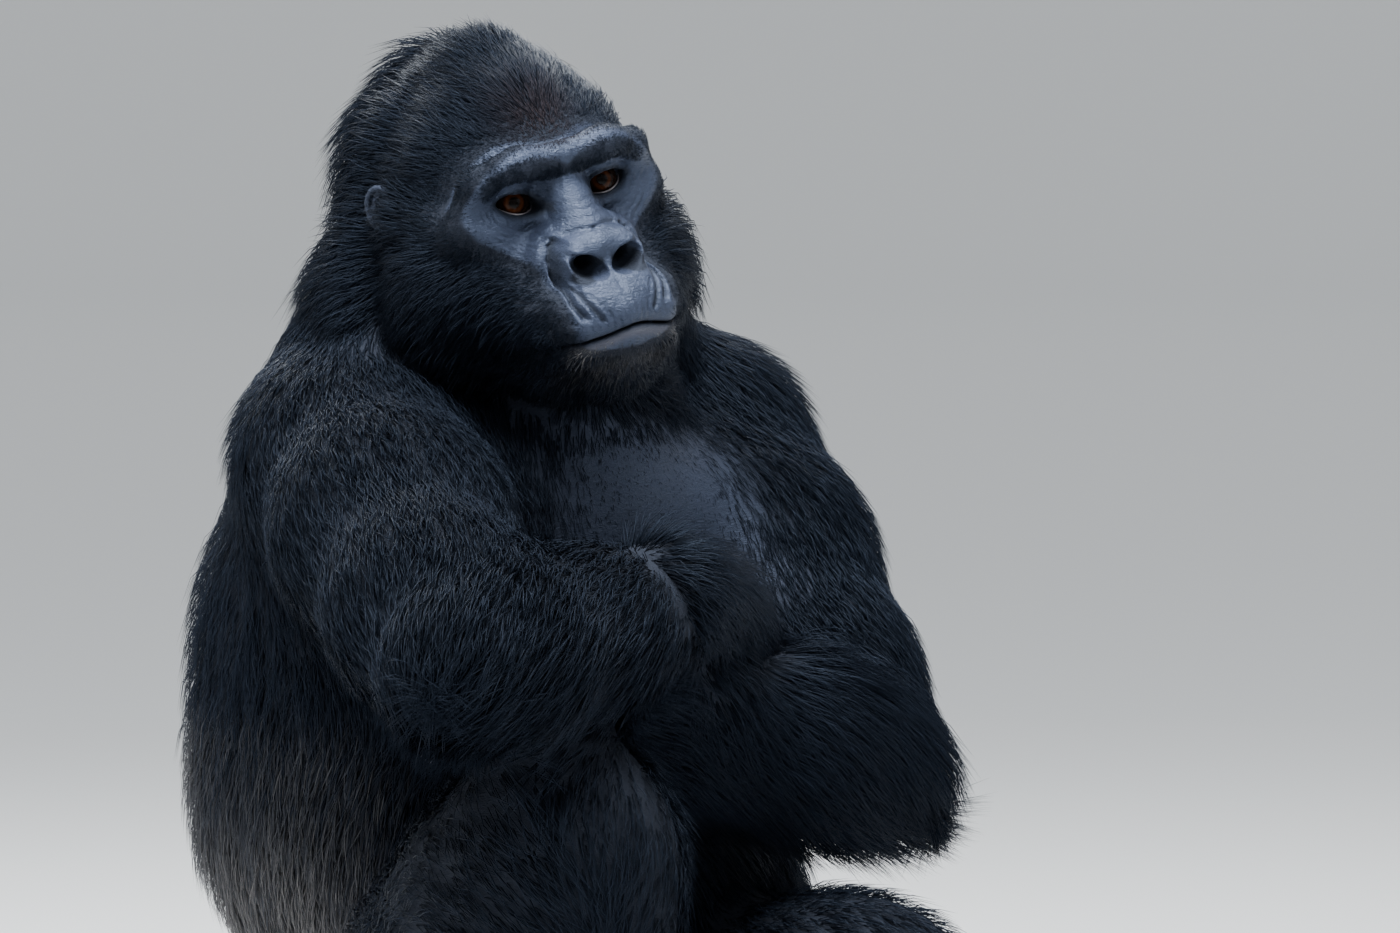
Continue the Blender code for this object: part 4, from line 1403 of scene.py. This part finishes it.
# %% Share the roots out
def piece_of(shell, centres):
    """Which piece of coat each face of a shell grows."""
    if shell == "head":
        x, y, z = world_to_head(centres / MM).T
        return np.where(z < -118, "neck", np.where(y > 6, "head_top", "head_sides"))
    if shell != "body":
        return np.full(len(centres), {"hand": "arm_", "foot": "leg_"}[shell[:4]] + shell[-1])
    pieces = {"neck": "neck", "trunk": "back"}
    for side in "rl":
        pieces.update({"upper_arm_" + side: "arm_" + side, "forearm_" + side: "arm_" + side})
        pieces.update({"thigh_" + side: "leg_" + side, "shank_" + side: "leg_" + side})
    owner = np.array([pieces[name] for name in REGIONS])[region_pull(centres).argmax(1)]
    return np.where((owner == "back") & (centres[:, 1] < 25), "front", owner)


def density(shell, centres):
    """How thickly tufts stand, compared with the long coat of the body."""
    if shell == "head":
        local = world_to_head(centres / MM)
        inside = bareness(local)
        near = np.exp(-((np.maximum(-inside, 0) / 22) ** 2))
        return (1 + 2.6 * near) * (1 - smoothstep(inside, -8, 11)) + 4.0 * brow_hair_and_shade(local)
    thick = 1.0 if shell == "body" else 1.5
    return thick - 0.3 * chest_patch(centres / MM)


TABLE = []
for shell in ("body", "head", "hand_r", "hand_l", "foot_r", "foot_l"):
    corners, corner_normals, _, area = QUADS[shell]
    centres = corners.mean(1)
    weight = area * density(shell, centres) * grows(shell, centres, unit(corner_normals.mean(1)))
    TABLE.append((shell, piece_of(shell, centres), weight))


def within_quads(corners, u, v):
    """What four-cornered faces hold at a place (u, v) inside each, between 0 and 1 each way."""
    near = corners[:, 0] * (1 - u) + corners[:, 1] * u
    far = corners[:, 3] * (1 - u) + corners[:, 2] * u
    return near * (1 - v) + far * v


def sow(piece_name, count):
    """Draws roots for a piece: (roots, normals, hair, patches)."""
    total = sum(weight[owner == piece_name].sum() for _, owner, weight in TABLE)
    found = []
    for shell, owner, weight in TABLE:
        weight = weight * (owner == piece_name)
        share = int(round(count * weight.sum() / total))
        if share == 0:
            continue
        picked = CHANCE.choice(len(weight), share, p=weight / weight.sum())
        u, v = CHANCE.uniform(0, 1, (2, share, 1))
        roots, normals, ways = (within_quads(corners[picked], u, v) for corners in QUADS[shell][:3])
        normals, ways = unit(normals), unit(ways)
        kept = grows(shell, roots, normals)
        roots, normals, ways = roots[kept], normals[kept], ways[kept]
        hair = (ways, *hair_at(shell, roots, normals)[1:])
        found.append((roots, normals, hair, unrolled(shell, roots)))
    roots, normals, patches = (np.concatenate([row[i] for row in found]) for i in (0, 1, 3))
    hair = [np.concatenate([row[2][i] for row in found]) for i in range(5)]
    return roots, normals, hair, patches


# How many tufts each piece has.
PIECES = {
    "head_top": 18500, "head_sides": 19500, "neck": 16500, "back": 19500, "front": 14500,
    "arm_r": 19500, "arm_l": 19500, "leg_r": 10500, "leg_l": 10500,
}
coat_material = coat_finish()
coat = []
for piece_name, count in PIECES.items():
    slot_name = "silver_coat" if piece_name == "back" else "coat"
    coat.append(build_coat("coat_" + piece_name, *sow(piece_name, count), slot_name))
    coat[-1].data.materials.append(coat_material)

# %% [markdown]
# ## Eyes
#
# The eyeball is a sphere whose poles lie on the line of sight, so rings of latitude become pupil, iris
# and white. The white of a gorilla's eye is dark brown. The cornea bulges a little, and the whole ball
# is wet. Along the lower lid runs a thin moist rim that catches the light.

# %% Eyeballs
GAZE = unit((-0.50, -0.86, 0.06))
CORNEA_ANGLE = math.radians(33)
CORNEA_RISE = 0.0011


def eye_centre(side):
    return head_to_world((side * EYE_OUT, 0, EYE_DEPTH))


def model_eye(name, side):
    deselect()
    bpy.ops.mesh.primitive_uv_sphere_add(segments=64, ring_count=48, radius=(EYE_RADIUS - 0.25) / MM)
    eye = bpy.context.active_object
    eye.name = eye.data.name = name
    for point in eye.data.vertices:
        angle = point.co.angle(Vector((0, 0, 1)))
        if angle < CORNEA_ANGLE:
            point.co *= 1 + CORNEA_RISE / point.co.length * math.cos(angle / CORNEA_ANGLE * math.pi / 2)
    turn = Vector(GAZE).to_track_quat("Z", "Y").to_matrix().to_4x4()
    eye.data.transform(Matrix.Translation(Vector(eye_centre(side))) @ turn)
    eye.data.shade_smooth()
    return eye


def eye_material():
    """Pupil, amber iris and brown white as rings round the pole, with fibres, under a wet gloss."""
    shader = Shader("eye_wet", Roughness=0.03, Specular_IOR_Level=0.07)
    spot = shader.node("ShaderNodeTexCoord", out="UV")
    turn = shader.node("ShaderNodeSeparateXYZ", None, {0: spot}, out=0)
    height = shader.node("ShaderNodeSeparateXYZ", None, {0: spot}, out=1)
    radial = shader.node("ShaderNodeCombineXYZ", None, {0: turn * 46.0, 1: height * 9.0})
    fibres = shader.noise(radial, 1.0, 3.0)
    from_pole = 1.0 - height + (fibres - 0.5) * 0.012
    ring = shader.node("ShaderNodeValToRGB", {"stops": [
        (0.000, (0.0008, 0.0006, 0.0006)), (0.078, (0.0010, 0.0008, 0.0008)), (0.096, (0.022, 0.007, 0.0025)),
        (0.135, (0.046, 0.014, 0.0045)), (0.172, (0.020, 0.006, 0.0025)), (0.198, (0.003, 0.0015, 0.001)),
        (0.240, (0.008, 0.0045, 0.0035)), (0.500, (0.016, 0.009, 0.007))]}, {0: from_pole})
    shader.set(Base_Color=shader.mix((fibres - 0.3) * 0.7, ring, rgb(0.012, 0.005, 0.003)))
    return shader.material


wet = eye_material()
for node_name, side in (("eye_r", -1), ("eye_l", 1)):
    eye = model_eye("ball_" + node_name, side)
    eye.data.materials.append(wet)
    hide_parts(node_name)
    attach(eye, "root")
print("eyes look along", GAZE.round(2))


# %% Moist rims of the lower lids
def tube(path, radii, corners=8):
    """A tube of round section along a path, open at its thin ends: (points, four-sided faces)."""
    path = np.asarray(path, float)
    ahead = unit(np.gradient(path, axis=0))
    side = unit(np.cross(ahead, HEAD_AXES[:, 2]))
    up = np.cross(side, ahead)
    turn = np.linspace(0, 2 * math.pi, corners, endpoint=False)
    ring = np.cos(turn)[:, None, None] * side + np.sin(turn)[:, None, None] * up
    points = (path + ring * np.asarray(radii)[None, :, None]).transpose(1, 0, 2).reshape(-1, 3)
    rows, columns = np.meshgrid(np.arange(len(path) - 1), np.arange(corners), indexing="ij")
    near = rows * corners + columns
    aside = rows * corners + (columns + 1) % corners
    return points, np.stack((near, aside, aside + corners, near + corners), -1).reshape(-1, 4)


def model_rim(side):
    """A thin rim that follows the edge of the lower lid, just in front of the eyeball."""
    out = np.linspace(-SLIT_HALF + 1.5, SLIT_HALF - 1.5, 25)
    up = -lid_edge(out, SLIT_DROP, LOWER_BOW) + 0.15
    across = out * math.cos(SLIT_TILT) - up * math.sin(SLIT_TILT)
    above = up * math.cos(SLIT_TILT) + out * math.sin(SLIT_TILT)
    flat = np.hypot(across, above)
    depth = np.sqrt(np.maximum((EYE_RADIUS + 0.9) ** 2 - flat**2, 9.0))
    path = head_to_world(np.stack((side * (EYE_OUT + across), above, EYE_DEPTH + depth), 1))
    radii = 0.00075 * np.sin(np.linspace(0.15, math.pi - 0.15, len(path))) ** 0.4
    return tube(path, radii)


rim_finish = Shader("lid_rim", Base_Color=rgb(0.16, 0.14, 0.15), Roughness=0.12, Coat_Weight=0.8)
rim = new_mesh("lid_rims", *shells_joined([model_rim(-1), model_rim(1)]))
rim.data.materials.append(rim_finish.material)
print("lid rims:", len(rim.data.polygons), "faces")

# %% [markdown]
# ## Nails
#
# Gorillas have flat dark nails. One nail is modelled from a cube: cut finer, arched from side to side
# and thinned towards its end. Each finger and toe then gets its own copy, turned to lie on its tip.

# %% Nails
def model_nail():
    deselect()
    bpy.ops.mesh.primitive_cube_add(size=1.0)
    nail = bpy.context.active_object
    bpy.ops.object.mode_set(mode="EDIT")
    bpy.ops.mesh.subdivide(number_cuts=3)
    bpy.ops.object.mode_set(mode="OBJECT")
    for point in nail.data.vertices:
        x, y, z = point.co
        narrow = 1 - 0.25 * max(x, 0) ** 2 * 4 - 0.12 * max(-x, 0)
        point.co = (x * 12.5, y * 11.5 * narrow, z * 1.5 - 9.0 * y * y + 0.6 - 2.2 * (x + 0.2) ** 2)
    nail.data.transform(Matrix.Scale(1 / MM, 4))
    nail.data.shade_smooth()
    return nail


def nail_places():
    """(middle, ahead, up, size) for every nail, in millimetres."""
    for side in "rl":
        for joints, ahead, up in finger_bones(side):
            yield joints[-1] + ahead * 1.5 + up * 9.6, ahead, up, 1.0
        for joints, radii, ahead in toe_bones(side):
            up = unit(UP - ahead * (UP @ ahead))
            yield joints[-1] + ahead * 3 + up * (radii[-1] - 0.6), ahead, up, radii[-1] / 11.0


def place_nails(pattern):
    nails = []
    for middle, ahead, up, size in nail_places():
        copy = pattern.copy()
        copy.data = pattern.data.copy()
        bpy.context.scene.collection.objects.link(copy)
        axes = np.stack((ahead, np.cross(up, ahead), up), 1)
        turn = Matrix(axes.tolist()).to_4x4()
        copy.data.transform(Matrix.Translation(Vector(middle / MM)) @ turn @ Matrix.Scale(size, 4))
        nails.append(copy)
    bpy.data.objects.remove(pattern)
    deselect()
    for nail in nails:
        nail.select_set(True)
    bpy.context.view_layer.objects.active = nails[0]
    bpy.ops.object.join()
    return bpy.context.active_object


def horn_material():
    """Brown-black horn with a fine grain."""
    shader = Shader("nail_horn", Specular_IOR_Level=0.5)
    grain = shader.noise(shader.node("ShaderNodeTexCoord", out="Object"), 600.0, 3.0)
    shader.set(Base_Color=shader.mix(grain, rgb(0.012, 0.011, 0.011), rgb(0.050, 0.044, 0.040)))
    shader.set(Roughness=0.35 + grain * 0.25)
    return shader.material


nails = place_nails(model_nail())
nails.name = nails.data.name = "nails"
nails.data.materials.append(horn_material())
print("nails:", len(nails.data.polygons), "faces")

# %% [markdown]
# ## Studio
#
# A pale floor runs up into a pale backdrop in one curve. A broad light high on the left and one almost
# overhead give the soft sheen on brow, nose and arms; a weak cool one fills from the right, and one
# from behind lifts the outline of the dark coat off the backdrop.

# %% Camera, floor and lights
CAMERA_TURN, CAMERA_RISE, CAMERA_DISTANCE = math.radians(-42), math.radians(3), 6.5
AIM = Vector((0.07244, -0.13251, 0.64638))
FRAME_WIDTH = 1.05
FLOOR_RADIUS = 24.0
CURVE_STEPS = 16
CURVE_STEP = 0.5
WALL_HEIGHT = 3.0


def towards(turn, rise):
    """The way from the animal to something at this turn and rise; turn 0 is in front of it."""
    return Vector((math.sin(turn) * math.cos(rise), -math.cos(turn) * math.cos(rise), math.sin(rise)))


def add_camera():
    data = bpy.data.cameras.new("camera")
    data.sensor_width = 36.0
    data.lens = data.sensor_width * CAMERA_DISTANCE / FRAME_WIDTH
    camera = bpy.data.objects.new("camera", data)
    bpy.context.scene.collection.objects.link(camera)
    back = towards(CAMERA_TURN, CAMERA_RISE)
    camera.location = AIM + back * CAMERA_DISTANCE
    camera.rotation_euler = back.to_track_quat("Z", "Y").to_euler()
    bpy.context.scene.camera = camera


def add_light(name, turn, rise, distance, size, power, colour):
    data = bpy.data.lights.new(name, "AREA")
    data.shape, data.size, data.energy, data.color = "DISK", size, power, colour
    light = bpy.data.objects.new(name, data)
    bpy.context.scene.collection.objects.link(light)
    back = towards(math.radians(turn), math.radians(rise))
    light.location = Vector((0, 0, 0.55)) + back * distance
    light.rotation_euler = back.to_track_quat("Z", "Y").to_euler()


def add_floor():
    """A round floor whose rim curves up into a wall all round; the disc that rises with it is the lid."""
    deselect()
    place = (0, 0, -0.0005)
    bpy.ops.mesh.primitive_circle_add(vertices=96, radius=FLOOR_RADIUS, fill_type="NGON", location=place)
    floor = bpy.context.active_object
    bpy.ops.object.mode_set(mode="EDIT")
    bpy.ops.mesh.select_mode(type="EDGE")
    reach = FLOOR_RADIUS
    for step in range(CURVE_STEPS):
        angle = math.radians(90 * (step + 0.5) / CURVE_STEPS)
        rise = CURVE_STEP * math.sin(angle)
        bpy.ops.mesh.extrude_region_move(TRANSFORM_OT_translate={"value": (0, 0, rise)})
        grow = 1 + CURVE_STEP * math.cos(angle) / reach
        reach *= grow
        bpy.ops.transform.resize(value=(grow, grow, 1))
    bpy.ops.mesh.extrude_region_move(TRANSFORM_OT_translate={"value": (0, 0, WALL_HEIGHT)})
    # The lid is still selected, and would keep the room's light out.
    bpy.ops.mesh.delete(type="ONLY_FACE")
    bpy.ops.object.mode_set(mode="OBJECT")
    floor.name = floor.data.name = "studio_floor"
    floor.data.shade_smooth()
    pale = Shader("pale_floor", Base_Color=rgb(0.80, 0.80, 0.79), Roughness=0.75)
    floor.data.materials.append(pale.material)


def add_world():
    world = bpy.data.worlds.new("pale_room")
    world.use_nodes = True
    room = world.node_tree.nodes["Background"]
    room.inputs["Color"].default_value = rgb(0.86, 0.90, 0.95)
    room.inputs["Strength"].default_value = 0.80
    bpy.context.scene.world = world


add_camera()
add_floor()
add_world()
#                     turn rise  away size power colour
add_light("key_light", -66, 64, 3.2, 1.9, 230, (0.95, 0.98, 1.00))
add_light("top_light", -10, 82, 3.0, 2.0, 150, (0.90, 0.95, 1.00))
add_light("fill_light", 20, 20, 4.5, 2.6, 16, (0.86, 0.92, 1.00))
add_light("rim_light", 150, 42, 3.6, 1.6, 110, (0.95, 0.98, 1.00))

# %% [markdown]
# ## Finish
#
# Each piece rides on the root, as the animal has no joints.

# %% Ride on the root
for piece in (skin, rim, nails, *coat):
    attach(piece, "root")
